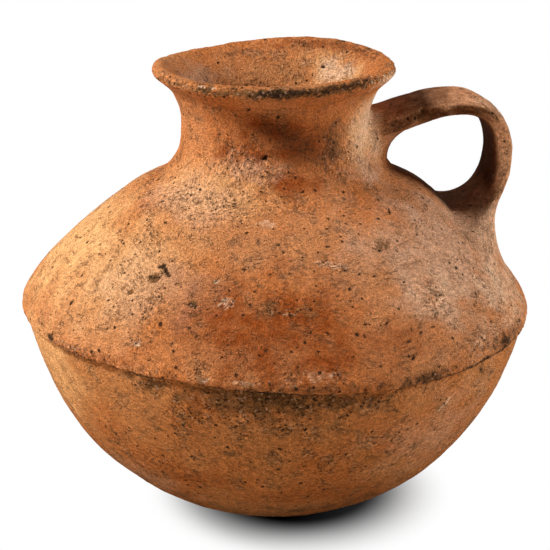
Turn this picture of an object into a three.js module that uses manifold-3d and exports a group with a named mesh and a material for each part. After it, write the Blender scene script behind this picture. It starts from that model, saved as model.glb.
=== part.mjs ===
// One-handled olla: a hand-built earthenware pot whose walls are raised in stages and luted together.
// Millimetres, +Z up. The origin is the middle of the resting face, and the handle points along +X.
import * as THREE from 'three';
import { mergeVertices } from 'three/addons/utils/BufferGeometryUtils.js';
import Module from 'manifold-3d';

const wasm = await Module();
wasm.setup();

// Driving dimensions of the body
const REST_RADIUS = 26; // the flattened spot that the pot stands on
const MOULD_LINE_HEIGHT = 33; // seam between the moulded bottom and the raised wall
const BELLY_HEIGHT = 107.5; // resting face to carination
const CARINATION_RADIUS = 126; // widest line of the pot
const SHOULDER_RISE = 63.5; // carination to neck foot
const BODY_WALL = 7;
const BODY_SCARF = 6; // how far a body seam climbs through the wall

// Driving dimensions of the lap seam at the carination
const LAP_OVERHANG = 1.6; // shoulder edge past the belly wall
const LAP_DROP = 1.8; // shoulder edge below the carination
const LAP_RISE = 9; // height of the seam from its outer to its inner edge
const CARINATION_COIL_LEG = 15; // reach of the inner coil along each wall
const COIL_EDGE = 0.8; // thickness that a smoothed coil or luting runs out to

// Driving dimensions of the neck and the rim
const NECK_FOOT_RADIUS = 50;
const NECK_RISE = 40; // neck foot to rim seam
const NECK_WAIST_RADIUS = 45.5;
const NECK_WAIST_RISE = 28; // neck foot to waist
const NECK_TOP_RADIUS = 48.8;
const NECK_WALL = 5.8;
const NECK_COIL_LEG = 16; // reach of the root coil along shoulder and neck
const LIP_RADIUS = 59.3; // outermost line of the lip
const LIP_RISE = 12; // rim seam to the outermost line
const LIP_THICKNESS = 6.8;
const RIM_SCARF = 3;

// Driving dimensions of the handle, to the middle of the strap
const STRAP_WIDTH = 36;
const STRAP_FOOT_WIDTH = 60; // where the strap spreads on to the shoulder
const STRAP_NECK_THICKNESS = 13;
const STRAP_SHOULDER_THICKNESS = 6.5;
const HANDLE_ROOT_RISE = 23.1; // neck foot to the root on the neck
const HANDLE_CROWN_RISE = 33.2; // neck foot to the crown
const HANDLE_CROWN_RADIUS = 89;
const HANDLE_REACH = 111.4; // outermost run of the strap
const HANDLE_REACH_RISE = 7.6; // neck foot to the outermost run
const HANDLE_LANDING_RADIUS = 98.5; // where the strap lands on the shoulder
const HANDLE_TENON = 16; // length that runs on into the wall before it is cut to the wall's face
const UPPER_LUTING_LENGTH = 23; // reach of the pressed clay along the strap
const UPPER_LUTING_SIDE_FLARE = 5;
const UPPER_LUTING_OUTER_FLARE = 2;
const UPPER_LUTING_INNER_FLARE = 26;
const LOWER_LUTING_LENGTH = 24;
const LOWER_LUTING_SIDE_FLARE = 8;
const LOWER_LUTING_OUTER_FLARE = 10;
const LOWER_LUTING_INNER_FLARE = 20;

// Clearance between luted pieces, square to a seam and along one that is bevelled at half a right angle
const SEAM = 0.3;
const BEVEL_SEAM = SEAM * Math.SQRT2;

// Shape of the curves: slopes in degrees and fullness as a share of the chord
const FULLNESS = 0.4;
const REST_SLOPE = 17;
const BELLY_TOP_SLOPE = 77;
const SHOULDER_EDGE_FULLNESS = 0.11;
const SHOULDER_TOP_SLOPE = 12;
const SHOULDER_TOP_FULLNESS = 0.33;
const NECK_FOOT_SLOPE = 110;
const NECK_TOP_SLOPE = 68;
const LIP_LOWER_ANGLE = -50;
const LIP_UPPER_ANGLE = 130;
const HANDLE_ROOT_SLOPE = 12;
const HANDLE_BEND_FULLNESS = 0.46;
const HANDLE_LANDING_SLOPE = 71;
const STRAP_SPREAD_START = 0.55; // share of the handle's length after which the strap spreads
const STRAP_SQUARENESS = 3; // exponent of the superellipse section

// Unevenness of the hand-built walls: waves of height round the pot, crests in degrees from the handle
const CARINATION_WAVES = [
  { lobes: 1, swing: 2.15, crest: -166 },
  { lobes: 2, swing: 1.35, crest: 51 },
  { lobes: 3, swing: 0.8, crest: -15 },
  { lobes: 5, swing: 0.55, crest: -34 },
];
const RIM_WAVES = [
  { lobes: 2, swing: 0.65, crest: 49 },
  { lobes: 3, swing: 0.65, crest: -57 },
];
const CARINATION_WAVE_SPREAD = 58; // height over which the waves die out above and below the carination

// Facets
const AROUND = 48;
const STRAP_STATIONS = 30;
const STRAP_SIDES = 20;
const LUTING_STATIONS = 9;

// Heights that follow from the driving dimensions
const NECK_FOOT_HEIGHT = BELLY_HEIGHT + SHOULDER_RISE;
const NECK_TOP_HEIGHT = NECK_FOOT_HEIGHT + NECK_RISE;
const LIP_HEIGHT = NECK_TOP_HEIGHT + LIP_RISE;

const point = (radius, height) => new THREE.Vector2(radius, height);
const heading = (degrees) => {
  const angle = THREE.MathUtils.degToRad(degrees);
  return point(Math.cos(angle), Math.sin(angle));
};

// A curve from one point to another that leaves and arrives along given slopes.
function bow(start, startSlope, end, endSlope, startFullness = FULLNESS, endFullness = FULLNESS) {
  const chord = start.distanceTo(end);
  const first = start.clone().addScaledVector(heading(startSlope), startFullness * chord);
  const second = end.clone().addScaledVector(heading(endSlope), -endFullness * chord);
  return new THREE.CubicBezierCurve(start, first, second, end);
}

// Points along a curve between two shares of its length, set off to the left of its run.
function stretch(curve, from, to, steps, offset = 0) {
  return Array.from({ length: steps + 1 }, (_, step) => {
    const share = THREE.MathUtils.lerp(from, to, step / steps);
    const tangent = curve.getTangentAt(share);
    return curve.getPointAt(share).add(point(-tangent.y, tangent.x).multiplyScalar(offset));
  });
}

// Share of a curve's length at which a measure that grows along it reaches a value.
function shareWhere(curve, measure, value) {
  let low = 0;
  let high = 1;
  for (let round = 0; round < 40; round += 1) {
    const middle = (low + high) / 2;
    if (measure(curve.getPointAt(middle)) < value) low = middle;
    else high = middle;
  }
  return (low + high) / 2;
}

// Outer outlines of the walls, each running upward so that the inside lies to the left
const bellyTop = point(CARINATION_RADIUS - LAP_OVERHANG, BELLY_HEIGHT - LAP_DROP);
const carination = point(CARINATION_RADIUS, BELLY_HEIGHT);
const neckFoot = point(NECK_FOOT_RADIUS, NECK_FOOT_HEIGHT);
const neckWaist = point(NECK_WAIST_RADIUS, NECK_FOOT_HEIGHT + NECK_WAIST_RISE);
const neckTop = point(NECK_TOP_RADIUS, NECK_TOP_HEIGHT);

const bellyCurve = bow(point(REST_RADIUS, 0), REST_SLOPE, bellyTop, BELLY_TOP_SLOPE);
const shoulderCurve = bow(
  carination, 90, neckFoot, 180 - SHOULDER_TOP_SLOPE, SHOULDER_EDGE_FULLNESS, SHOULDER_TOP_FULLNESS,
);
const neckCurve = new THREE.CurvePath();
neckCurve.add(bow(neckFoot, NECK_FOOT_SLOPE, neckWaist, 90));
neckCurve.add(bow(neckWaist, 90, neckTop, NECK_TOP_SLOPE));

const along = (curve, length) => length / curve.getLength();
const mouldShare = shareWhere(bellyCurve, (spot) => spot.y, MOULD_LINE_HEIGHT);

// Lap seam: a slope that climbs inward from under the shoulder's edge
const shoulderInside = (share) => stretch(shoulderCurve, share, share, 1, BODY_WALL)[0];
const lapOuter = point(bellyTop.x + SEAM, bellyTop.y);
const lapInnerShare = (() => {
  let share = 0;
  while (shoulderInside(share).y < lapOuter.y + LAP_RISE) share += 0.005;
  return share;
})();
const lapInner = shoulderInside(lapInnerShare);
const lapRun = lapInner.clone().sub(lapOuter).normalize();
const lapClearance = point(-lapRun.y, lapRun.x).multiplyScalar(SEAM);

// Neck seat: the shoulder's bevelled edge, on which the neck collar stands
const shoulderEnd = stretch(shoulderCurve, 1, 1, 1, BODY_WALL)[0];
const neckSeat = point(neckFoot.x - BODY_SCARF, shoulderEnd.y);
const neckSeatInner = point(neckSeat.x, neckSeat.y + BEVEL_SEAM);
const neckSeatOuter = point(neckFoot.x, neckFoot.y + BEVEL_SEAM);

// Rim seam: a bevel that falls inward through the neck wall
const neckInside = (share) => stretch(neckCurve, share, share, 1, NECK_WALL)[0];
const rimSeamShare = 1 - along(neckCurve, RIM_SCARF);
const rimSeamInner = neckInside(rimSeamShare);

// Height of the waves at one bearing round the pot.
function waveHeight(waves, angle) {
  const lift = (wave) => wave.swing * Math.cos(wave.lobes * (angle - THREE.MathUtils.degToRad(wave.crest)));
  return waves.reduce((sum, wave) => sum + lift(wave), 0);
}

// Shifts every vertex by the waves of the hand-built walls.
function handShaped(geometry) {
  const vertices = geometry.attributes.position;
  for (let index = 0; index < vertices.count; index += 1) {
    const height = vertices.getZ(index);
    const angle = Math.atan2(vertices.getY(index), vertices.getX(index));
    const reach = THREE.MathUtils.clamp((height - BELLY_HEIGHT) / CARINATION_WAVE_SPREAD, -1, 1);
    const carinationShare = Math.cos((reach * Math.PI) / 2) ** 2;
    const rimShare = THREE.MathUtils.smoothstep(height, NECK_FOOT_HEIGHT, LIP_HEIGHT);
    const carinationLift = carinationShare * waveHeight(CARINATION_WAVES, angle);
    const rimLift = rimShare * waveHeight(RIM_WAVES, angle);
    vertices.setZ(index, height + carinationLift + rimLift);
  }
  return geometry;
}

// Joins shared vertices and drops triangles that have collapsed, which leaves one closed body.
function closedBody(geometry) {
  geometry.deleteAttribute('normal');
  geometry.deleteAttribute('uv');
  const merged = mergeVertices(geometry, 1e-4);
  const corners = merged.index.array;
  const kept = [];
  for (let first = 0; first < corners.length; first += 3) {
    const [a, b, c] = corners.slice(first, first + 3);
    if (a !== b && b !== c && c !== a) kept.push(a, b, c);
  }
  merged.setIndex(kept);
  return merged;
}

// A wall turned about the pot's axis from an outline that closes on itself or on the axis.
function turned(outline) {
  const onAxis = outline[0].x === 0 && outline[outline.length - 1].x === 0;
  const profile = onAxis ? outline : [...outline, outline[0]];
  const geometry = new THREE.LatheGeometry(profile, AROUND);
  geometry.rotateX(Math.PI / 2);
  return handShaped(closedBody(geometry));
}

// Solids for cutting, and back to geometry
function solidOf(geometry) {
  const triVerts = new Uint32Array(geometry.index.array);
  const vertProperties = new Float32Array(geometry.attributes.position.array);
  return new wasm.Manifold(new wasm.Mesh({ numProp: 3, vertProperties, triVerts }));
}

function geometryOf(solid) {
  const mesh = solid.getMesh();
  const geometry = new THREE.BufferGeometry();
  geometry.setAttribute('position', new THREE.BufferAttribute(mesh.vertProperties, 3));
  geometry.setIndex(new THREE.BufferAttribute(mesh.triVerts, 1));
  return closedBody(geometry);
}

// Bottom pressed in a shallow mould, with its resting face and the bevel that carries the raised wall.
function baseCup() {
  const scarf = along(bellyCurve, BODY_SCARF);
  return turned([
    point(0, 0),
    ...stretch(bellyCurve, 0, mouldShare, 5),
    ...stretch(bellyCurve, mouldShare + scarf, 0, 5, BODY_WALL),
    point(0, BODY_WALL),
  ]);
}

// Lower wall from the mould line to the lap under the shoulder.
function bellyWall() {
  const scarf = along(bellyCurve, BODY_SCARF);
  const start = mouldShare + along(bellyCurve, BEVEL_SEAM);
  return turned([
    ...stretch(bellyCurve, start, 1, 8),
    lapInner.clone().add(lapClearance),
    ...stretch(bellyCurve, 1, start + scarf, 6, BODY_WALL),
  ]);
}

// Upper wall, whose rounded lower edge laps over the belly.
function shoulderWall() {
  const edge = new THREE.QuadraticBezierCurve(
    point(lapOuter.x, lapOuter.y), point(carination.x, lapOuter.y), carination,
  );
  return turned([
    ...edge.getPoints(3).slice(0, -1),
    ...stretch(shoulderCurve, 0, 1, 10),
    neckSeat,
    ...stretch(shoulderCurve, 1, lapInnerShare, 8, BODY_WALL),
  ]);
}

// Coil pressed into the angle behind the lap seam, its face smoothed to a hollow.
function carinationCoil() {
  const low = 1 - along(bellyCurve, CARINATION_COIL_LEG);
  const high = lapInnerShare + along(shoulderCurve, CARINATION_COIL_LEG);
  const onBelly = stretch(bellyCurve, low, 1, 2, BODY_WALL + SEAM);
  const onShoulder = stretch(shoulderCurve, lapInnerShare, high, 2, BODY_WALL + SEAM);
  const lowEdge = stretch(bellyCurve, low, low, 1, BODY_WALL + SEAM + COIL_EDGE)[0];
  const highEdge = stretch(shoulderCurve, high, high, 1, BODY_WALL + SEAM + COIL_EDGE)[0];
  const hollow = onBelly[2].clone().lerp(lowEdge.clone().lerp(highEdge, 0.5), 0.5);
  const face = new THREE.QuadraticBezierCurve(highEdge, hollow, lowEdge);
  return turned([...onBelly, ...onShoulder, ...face.getPoints(3)]);
}

// Waisted neck that stands on the shoulder's bevel and carries the rim.
function neckCollar() {
  return turned([
    neckSeatOuter,
    ...stretch(neckCurve, along(neckCurve, NECK_WALL / 2), 1, 7),
    ...stretch(neckCurve, rimSeamShare, along(neckCurve, NECK_WALL), 5, NECK_WALL),
    neckSeatInner,
  ]);
}

// Coil worked into the angle between neck and shoulder.
const neckCoilLow = 1 - along(shoulderCurve, NECK_COIL_LEG);
const neckCoilHigh = along(neckCurve, NECK_COIL_LEG);
const neckCoilFace = (() => {
  const low = stretch(shoulderCurve, neckCoilLow, neckCoilLow, 1, -SEAM - COIL_EDGE)[0];
  const high = stretch(neckCurve, neckCoilHigh, neckCoilHigh, 1, -SEAM - COIL_EDGE)[0];
  return new THREE.QuadraticBezierCurve(low, neckFoot.clone().add(point(2 * SEAM, 2 * SEAM)), high);
})();

function neckRootCoil() {
  const corner = 1 - along(shoulderCurve, 2 * SEAM);
  const onNeck = stretch(neckCurve, neckCoilHigh, along(neckCurve, 2 * SEAM), 2, -SEAM);
  const onShoulder = stretch(shoulderCurve, corner, neckCoilLow, 2, -SEAM);
  return turned([...neckCoilFace.getPoints(5), ...onNeck, ...onShoulder]);
}

// Thick lip turned outward: a flare that ends in a rounded edge.
const lipRound = LIP_THICKNESS / 2;
const lipCentre = point(LIP_RADIUS - lipRound, LIP_HEIGHT);
const onLip = (degrees) => lipCentre.clone().addScaledVector(heading(degrees), lipRound);
const rimFoot = point(neckTop.x, neckTop.y + BEVEL_SEAM);
const rimFlare = bow(rimFoot, NECK_TOP_SLOPE, onLip(LIP_LOWER_ANGLE), LIP_LOWER_ANGLE + 90);

function rimCoil() {
  const innerFoot = point(rimSeamInner.x, rimSeamInner.y + BEVEL_SEAM);
  const throat = bow(onLip(LIP_UPPER_ANGLE), LIP_UPPER_ANGLE + 90, innerFoot, NECK_TOP_SLOPE + 180);
  const angleAt = (step) => THREE.MathUtils.lerp(LIP_LOWER_ANGLE, LIP_UPPER_ANGLE, step / 6);
  const turns = [1, 2, 3, 4, 5].map(angleAt);
  return turned([...rimFlare.getPoints(5), ...turns.map((angle) => onLip(angle)), ...throat.getPoints(5)]);
}

// The pot's outer face above the carination, swollen by the seam clearance: what the handle is fitted to.
function wallFace() {
  const outline = [
    ...stretch(shoulderCurve, 0, neckCoilLow, 9, -SEAM),
    ...neckCoilFace.getPoints(6).map((spot) => spot.clone().add(point(SEAM, SEAM))),
    ...stretch(neckCurve, neckCoilHigh, 1, 5, -SEAM),
    ...rimFlare.getPoints(5).map((spot) => spot.clone().add(point(SEAM, -SEAM))),
  ];
  const top = outline[outline.length - 1];
  return solidOf(turned([point(0, carination.y), ...outline, point(0, top.y)]));
}

// Middle line of the strap: up from the neck, over the crown and down to the shoulder
const handleCurve = (() => {
  const landingShare = shareWhere(shoulderCurve, (spot) => -spot.x, -HANDLE_LANDING_RADIUS);
  const root = point(NECK_WAIST_RADIUS, NECK_FOOT_HEIGHT + HANDLE_ROOT_RISE);
  const crown = point(HANDLE_CROWN_RADIUS, NECK_FOOT_HEIGHT + HANDLE_CROWN_RISE);
  const reach = point(HANDLE_REACH, NECK_FOOT_HEIGHT + HANDLE_REACH_RISE);
  const landing = shoulderCurve.getPointAt(landingShare);
  const landingSlope = -180 + HANDLE_LANDING_SLOPE;
  const inside = root.clone().addScaledVector(heading(HANDLE_ROOT_SLOPE), -HANDLE_TENON);
  const below = landing.clone().addScaledVector(heading(landingSlope), HANDLE_TENON);
  const path = new THREE.CurvePath();
  path.add(new THREE.LineCurve(inside, root));
  path.add(bow(root, HANDLE_ROOT_SLOPE, crown, 0));
  path.add(bow(crown, 0, reach, -90, HANDLE_BEND_FULLNESS, HANDLE_BEND_FULLNESS));
  path.add(bow(reach, -90, landing, landingSlope));
  path.add(new THREE.LineCurve(landing, below));
  return path;
})();

// A closed loft of superellipse sections along the handle, between two shares of its length.
function lofted(from, to, stations, halfSizes) {
  const corners = [];
  const faces = [];
  for (let station = 0; station <= stations; station += 1) {
    const share = THREE.MathUtils.lerp(from, to, station / stations);
    const middle = handleCurve.getPointAt(share);
    const run = handleCurve.getTangentAt(share);
    const { width, outer, inner } = halfSizes(share);
    for (let side = 0; side < STRAP_SIDES; side += 1) {
      const angle = (side / STRAP_SIDES) * 2 * Math.PI;
      const bulge = (value) => Math.sign(value) * Math.abs(value) ** (2 / STRAP_SQUARENESS);
      const across = width * bulge(Math.cos(angle));
      const rise = bulge(Math.sin(angle));
      const out = (rise > 0 ? outer : inner) * rise;
      corners.push(middle.x - run.y * out, across, middle.y + run.x * out);
    }
  }
  const corner = (station, side) => station * STRAP_SIDES + (side % STRAP_SIDES);
  for (let station = 0; station < stations; station += 1) {
    for (let side = 0; side < STRAP_SIDES; side += 1) {
      const [a, b] = [corner(station, side), corner(station, side + 1)];
      const [c, d] = [corner(station + 1, side), corner(station + 1, side + 1)];
      faces.push(a, b, c, b, d, c);
    }
  }
  for (let side = 1; side < STRAP_SIDES - 1; side += 1) {
    faces.push(corner(0, 0), corner(0, side + 1), corner(0, side));
    faces.push(corner(stations, 0), corner(stations, side), corner(stations, side + 1));
  }
  const geometry = new THREE.BufferGeometry();
  geometry.setAttribute('position', new THREE.Float32BufferAttribute(corners, 3));
  geometry.setIndex(faces);
  return solidOf(closedBody(geometry));
}

// Half sizes of the strap's section, which thins from neck to shoulder and spreads at its foot
function strapHalf(share) {
  const spread = THREE.MathUtils.clamp((share - STRAP_SPREAD_START) / (1 - STRAP_SPREAD_START), 0, 1) ** 2;
  const thickness = THREE.MathUtils.lerp(STRAP_NECK_THICKNESS, STRAP_SHOULDER_THICKNESS, share);
  const width = THREE.MathUtils.lerp(STRAP_WIDTH, STRAP_FOOT_WIDTH, spread);
  return { width: width / 2, outer: thickness / 2, inner: thickness / 2 };
}

function swollen({ width, outer, inner }, extra) {
  return { width: width + extra, outer: outer + extra, inner: inner + extra };
}

const fitted = wallFace();

function handleStrap() {
  return geometryOf(lofted(0, 1, STRAP_STATIONS, strapHalf).subtract(fitted));
}

// Clay pressed round one end of the strap, flaring out to the wall.
function luting(atNeck, length, sideFlare, outerFlare, innerFlare) {
  const handleLength = handleCurve.getLength();
  const span = (HANDLE_TENON + length) / handleLength;
  const halfSizes = (share) => {
    const run = (atNeck ? share : 1 - share) * handleLength - HANDLE_TENON;
    const flare = (1 - THREE.MathUtils.clamp(run / length, 0, 1)) ** 2;
    const { width, outer, inner } = swollen(strapHalf(share), SEAM + COIL_EDGE);
    return {
      width: width + sideFlare * flare,
      outer: outer + outerFlare * flare,
      inner: inner + innerFlare * flare,
    };
  };
  const [from, to] = atNeck ? [0, span] : [1 - span, 1];
  const clay = lofted(from, to, LUTING_STATIONS, halfSizes);
  const strapSpace = lofted(0, 1, STRAP_STATIONS, (share) => swollen(strapHalf(share), SEAM));
  return geometryOf(clay.subtract(strapSpace).subtract(fitted));
}

function upperHandleLuting() {
  const [outerFlare, innerFlare] = [UPPER_LUTING_OUTER_FLARE, UPPER_LUTING_INNER_FLARE];
  return luting(true, UPPER_LUTING_LENGTH, UPPER_LUTING_SIDE_FLARE, outerFlare, innerFlare);
}

function lowerHandleLuting() {
  const [outerFlare, innerFlare] = [LOWER_LUTING_OUTER_FLARE, LOWER_LUTING_INNER_FLARE];
  return luting(false, LOWER_LUTING_LENGTH, LOWER_LUTING_SIDE_FLARE, outerFlare, innerFlare);
}

// Fired clay: one unglazed body, toned by the fire from place to place
function piece(name, geometry, colour, roughness = 0.9) {
  geometry.computeVertexNormals();
  const looks = { color: colour, roughness, metalness: 0, flatShading: true };
  const material = new THREE.MeshStandardMaterial(looks);
  const mesh = new THREE.Mesh(geometry, material);
  mesh.name = name;
  return mesh;
}

const body = new THREE.Group();
body.add(
  piece('base_cup', baseCup(), 0x8f5a30),
  piece('belly_wall', bellyWall(), 0xa86a3a),
  piece('shoulder_wall', shoulderWall(), 0xb96c3c),
  piece('carination_coil', carinationCoil(), 0x9a5f38),
);

const neck = new THREE.Group();
neck.add(
  piece('neck_collar', neckCollar(), 0xb06a3c),
  piece('neck_root_coil', neckRootCoil(), 0xb46e40),
  piece('rim_coil', rimCoil(), 0xa5643c, 0.92),
);

const handle = new THREE.Group();
handle.add(
  piece('handle_strap', handleStrap(), 0x8a5636),
  piece('upper_handle_luting', upperHandleLuting(), 0x93593a),
  piece('lower_handle_luting', lowerHandleLuting(), 0xa86b44),
);

const olla = new THREE.Group();
olla.add(body, neck, handle);

export default olla;
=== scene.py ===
"""Looks of a one-handled earthenware olla: hand-worked walls, a strap handle and their fired clay."""
import logging
import math
from collections.abc import Sequence
from dataclasses import dataclass
from enum import Enum

import bpy
import numpy as np
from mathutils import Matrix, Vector


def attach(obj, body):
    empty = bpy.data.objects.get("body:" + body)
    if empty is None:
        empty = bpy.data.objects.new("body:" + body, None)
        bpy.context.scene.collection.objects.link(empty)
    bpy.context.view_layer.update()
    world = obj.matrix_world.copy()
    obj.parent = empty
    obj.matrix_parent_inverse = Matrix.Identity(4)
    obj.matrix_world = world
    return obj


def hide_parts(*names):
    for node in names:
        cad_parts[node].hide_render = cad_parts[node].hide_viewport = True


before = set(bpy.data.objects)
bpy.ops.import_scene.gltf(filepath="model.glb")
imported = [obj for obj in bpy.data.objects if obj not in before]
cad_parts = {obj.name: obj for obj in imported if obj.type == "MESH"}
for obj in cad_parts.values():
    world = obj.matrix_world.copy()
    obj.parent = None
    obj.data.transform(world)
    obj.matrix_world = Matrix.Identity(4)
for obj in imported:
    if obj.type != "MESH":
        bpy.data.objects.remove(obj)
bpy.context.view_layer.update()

LOG = logging.getLogger("olla")
MM = 0.001
BODY = "root"
Colour = tuple[float, float, float]


class Face(Enum):
    """Which way a stretch of wall looks."""

    SKIN = "worked skin that is seen"
    INNER = "plain inside of the pot"
    HIDDEN = "seam between two pieces"


class Tone(Enum):
    """Tones that fire, soot and wear leave on the clay, with painted light and shade laid into some of them,
    by the name of their mesh attribute.
    """

    SOOT = "soot"
    PALE = "pale"
    CRUST = "crust"
    RED = "red"
    BUFF = "buff"
    ASH = "ash"
    ROUGH = "rough"


SOOT, PALE, CRUST, RED, BUFF, ASH, ROUGH = Tone
Tones = dict[Tone, np.ndarray]


def heading(degrees: float) -> np.ndarray:
    """Direction of a slope in the plane of radius and height."""
    return np.array([math.cos(math.radians(degrees)), math.sin(math.radians(degrees))])


def smoothstep(values: np.ndarray, low: float, high: float) -> np.ndarray:
    """Eases from 0 at low to 1 at high."""
    share = np.clip((values - low) / (high - low), 0, 1)
    return share * share * (3 - 2 * share)


def bell(values: np.ndarray, middle: float, width: float) -> np.ndarray:
    """1 at the middle, falling off over a width to both sides."""
    return np.exp(-(((values - middle) / width) ** 2))


def wrapped(angle: np.ndarray) -> np.ndarray:
    """Angles in radians, brought to less than half a turn from zero."""
    return (angle + math.pi) % (2 * math.pi) - math.pi


def lengths(points: np.ndarray) -> np.ndarray:
    """Lengths along a row of points up to each of them."""
    return np.concatenate([[0.0], np.cumsum(np.linalg.norm(np.diff(points, axis=0), axis=1))])


def hollow(start: np.ndarray, corner: np.ndarray, end: np.ndarray, count: int) -> np.ndarray:
    """Points along a curve that bends round a corner."""
    share = np.linspace(0, 1, count)[:, None]
    return (1 - share) ** 2 * start + 2 * (1 - share) * share * corner + share**2 * end


def bow(
    start: np.ndarray, start_slope: float, end: np.ndarray, end_slope: float,
    start_fullness: float = 0.4, end_fullness: float = 0.4,
) -> np.ndarray:
    """A curve from one point to another that leaves and arrives along given slopes.

    Args:
        start: First point, radius and height.
        start_slope: Slope at the first point in degrees.
        end: Last point.
        end_slope: Slope at the last point in degrees.
        start_fullness: How long the curve holds its first slope, as a share of the chord.
        end_fullness: The same for the last slope.

    Returns:
        Closely set points along the curve as rows.
    """
    chord = float(np.linalg.norm(end - start))
    first = start + heading(start_slope) * start_fullness * chord
    second = end - heading(end_slope) * end_fullness * chord
    share = np.linspace(0, 1, 501)[:, None]
    rest = 1 - share
    return rest**3 * start + 3 * rest**2 * share * first + 3 * rest * share**2 * second + share**3 * end


@dataclass
class Outline:
    """A line in the plane of radius and height that is measured along its length."""

    points: np.ndarray

    def __post_init__(self) -> None:
        """Measures the line and drops points that coincide."""
        way = lengths(self.points)
        keep = np.concatenate([[True], np.diff(way) > 1e-9])
        self.points, self.way = self.points[keep], way[keep]
        run = np.gradient(self.points, self.way, axis=0)
        run /= np.linalg.norm(run, axis=1)[:, None]
        self.right = np.column_stack([run[:, 1], -run[:, 0]])

    @property
    def length(self) -> float:
        """Length of the whole line."""
        return float(self.way[-1])

    def at(self, way: np.ndarray, offset: float = 0.0) -> np.ndarray:
        """Points at given ways along the line.

        Args:
            way: Lengths from the line's start.
            offset: Distance to the right of the run, which is the outside of a wall that runs upward.

        Returns:
            Radius and height as rows.
        """
        spots = np.column_stack([np.interp(way, self.way, axis) for axis in self.points.T])
        return spots + offset * self.normal(way)

    def normal(self, way: np.ndarray) -> np.ndarray:
        """Directions to the right of the run at given ways along the line."""
        found = np.column_stack([np.interp(way, self.way, axis) for axis in self.right.T])
        return found / np.linalg.norm(found, axis=1)[:, None]

    def stretch(self, start: float, end: float, spacing: float, offset: float = 0.0) -> np.ndarray:
        """Evenly set points between two ways along the line, both ends included."""
        count = max(2, int(round(abs(end - start) / spacing)) + 1)
        return self.at(np.linspace(start, end, count), offset)


@dataclass(frozen=True)
class ClayNoise:
    """Smooth lumps in space, the same on every run."""

    seed: int
    gain: float = 1.8
    cells: int = 256

    def at(self, spots: np.ndarray, size: float) -> np.ndarray:
        """Height of the lumps.

        Args:
            spots: Points in millimetres as rows.
            size: Width of one lump in millimetres.

        Returns:
            One value for each point, about -1 to 1.
        """
        draw = np.random.default_rng(self.seed)
        shuffled = np.tile(draw.permutation(self.cells), 2)
        slopes = draw.normal(size=(self.cells, 3))
        slopes /= np.linalg.norm(slopes, axis=1)[:, None]
        scaled = spots / size
        cell = np.floor(scaled).astype(int)
        inside = scaled - cell
        ease = inside**3 * (inside * (inside * 6 - 15) + 10)
        total = np.zeros(len(spots))
        for corner in np.ndindex(2, 2, 2):
            key = (cell + corner) % self.cells
            index = shuffled[shuffled[shuffled[key[:, 0]] + key[:, 1]] + key[:, 2]]
            weight = np.where(np.array(corner) == 1, ease, 1 - ease).prod(axis=1)
            total += weight * ((inside - corner) * slopes[index]).sum(axis=1)
        return total * self.gain


@dataclass(frozen=True)
class Lumps:
    """Unevenness of one kind, by the height and the width of its lumps in millimetres."""

    height: float
    size: float

    def on(self, noise: ClayNoise, spots: np.ndarray) -> np.ndarray:
        """Height of the lumps at given points."""
        return self.height * noise.at(spots, self.size)


@dataclass(frozen=True)
class Wave:
    """One wave of height round the hand-built wall."""

    lobes: int
    swing: float
    crest: float

    def lift(self, bearing: np.ndarray) -> np.ndarray:
        """Height of the wave at bearings in radians."""
        return self.swing * np.cos(self.lobes * (bearing - math.radians(self.crest)))


@dataclass(frozen=True)
class Stations:
    """Ways along the skin, from the middle of the resting face, to the ends of its stretches."""

    rest: float
    mould: float
    lap: float
    crest: float
    coil_low: float
    coil_high: float
    rim_seam: float
    lip_under: float
    lip_over: float
    throat_foot: float
    inner_foot: float


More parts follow.
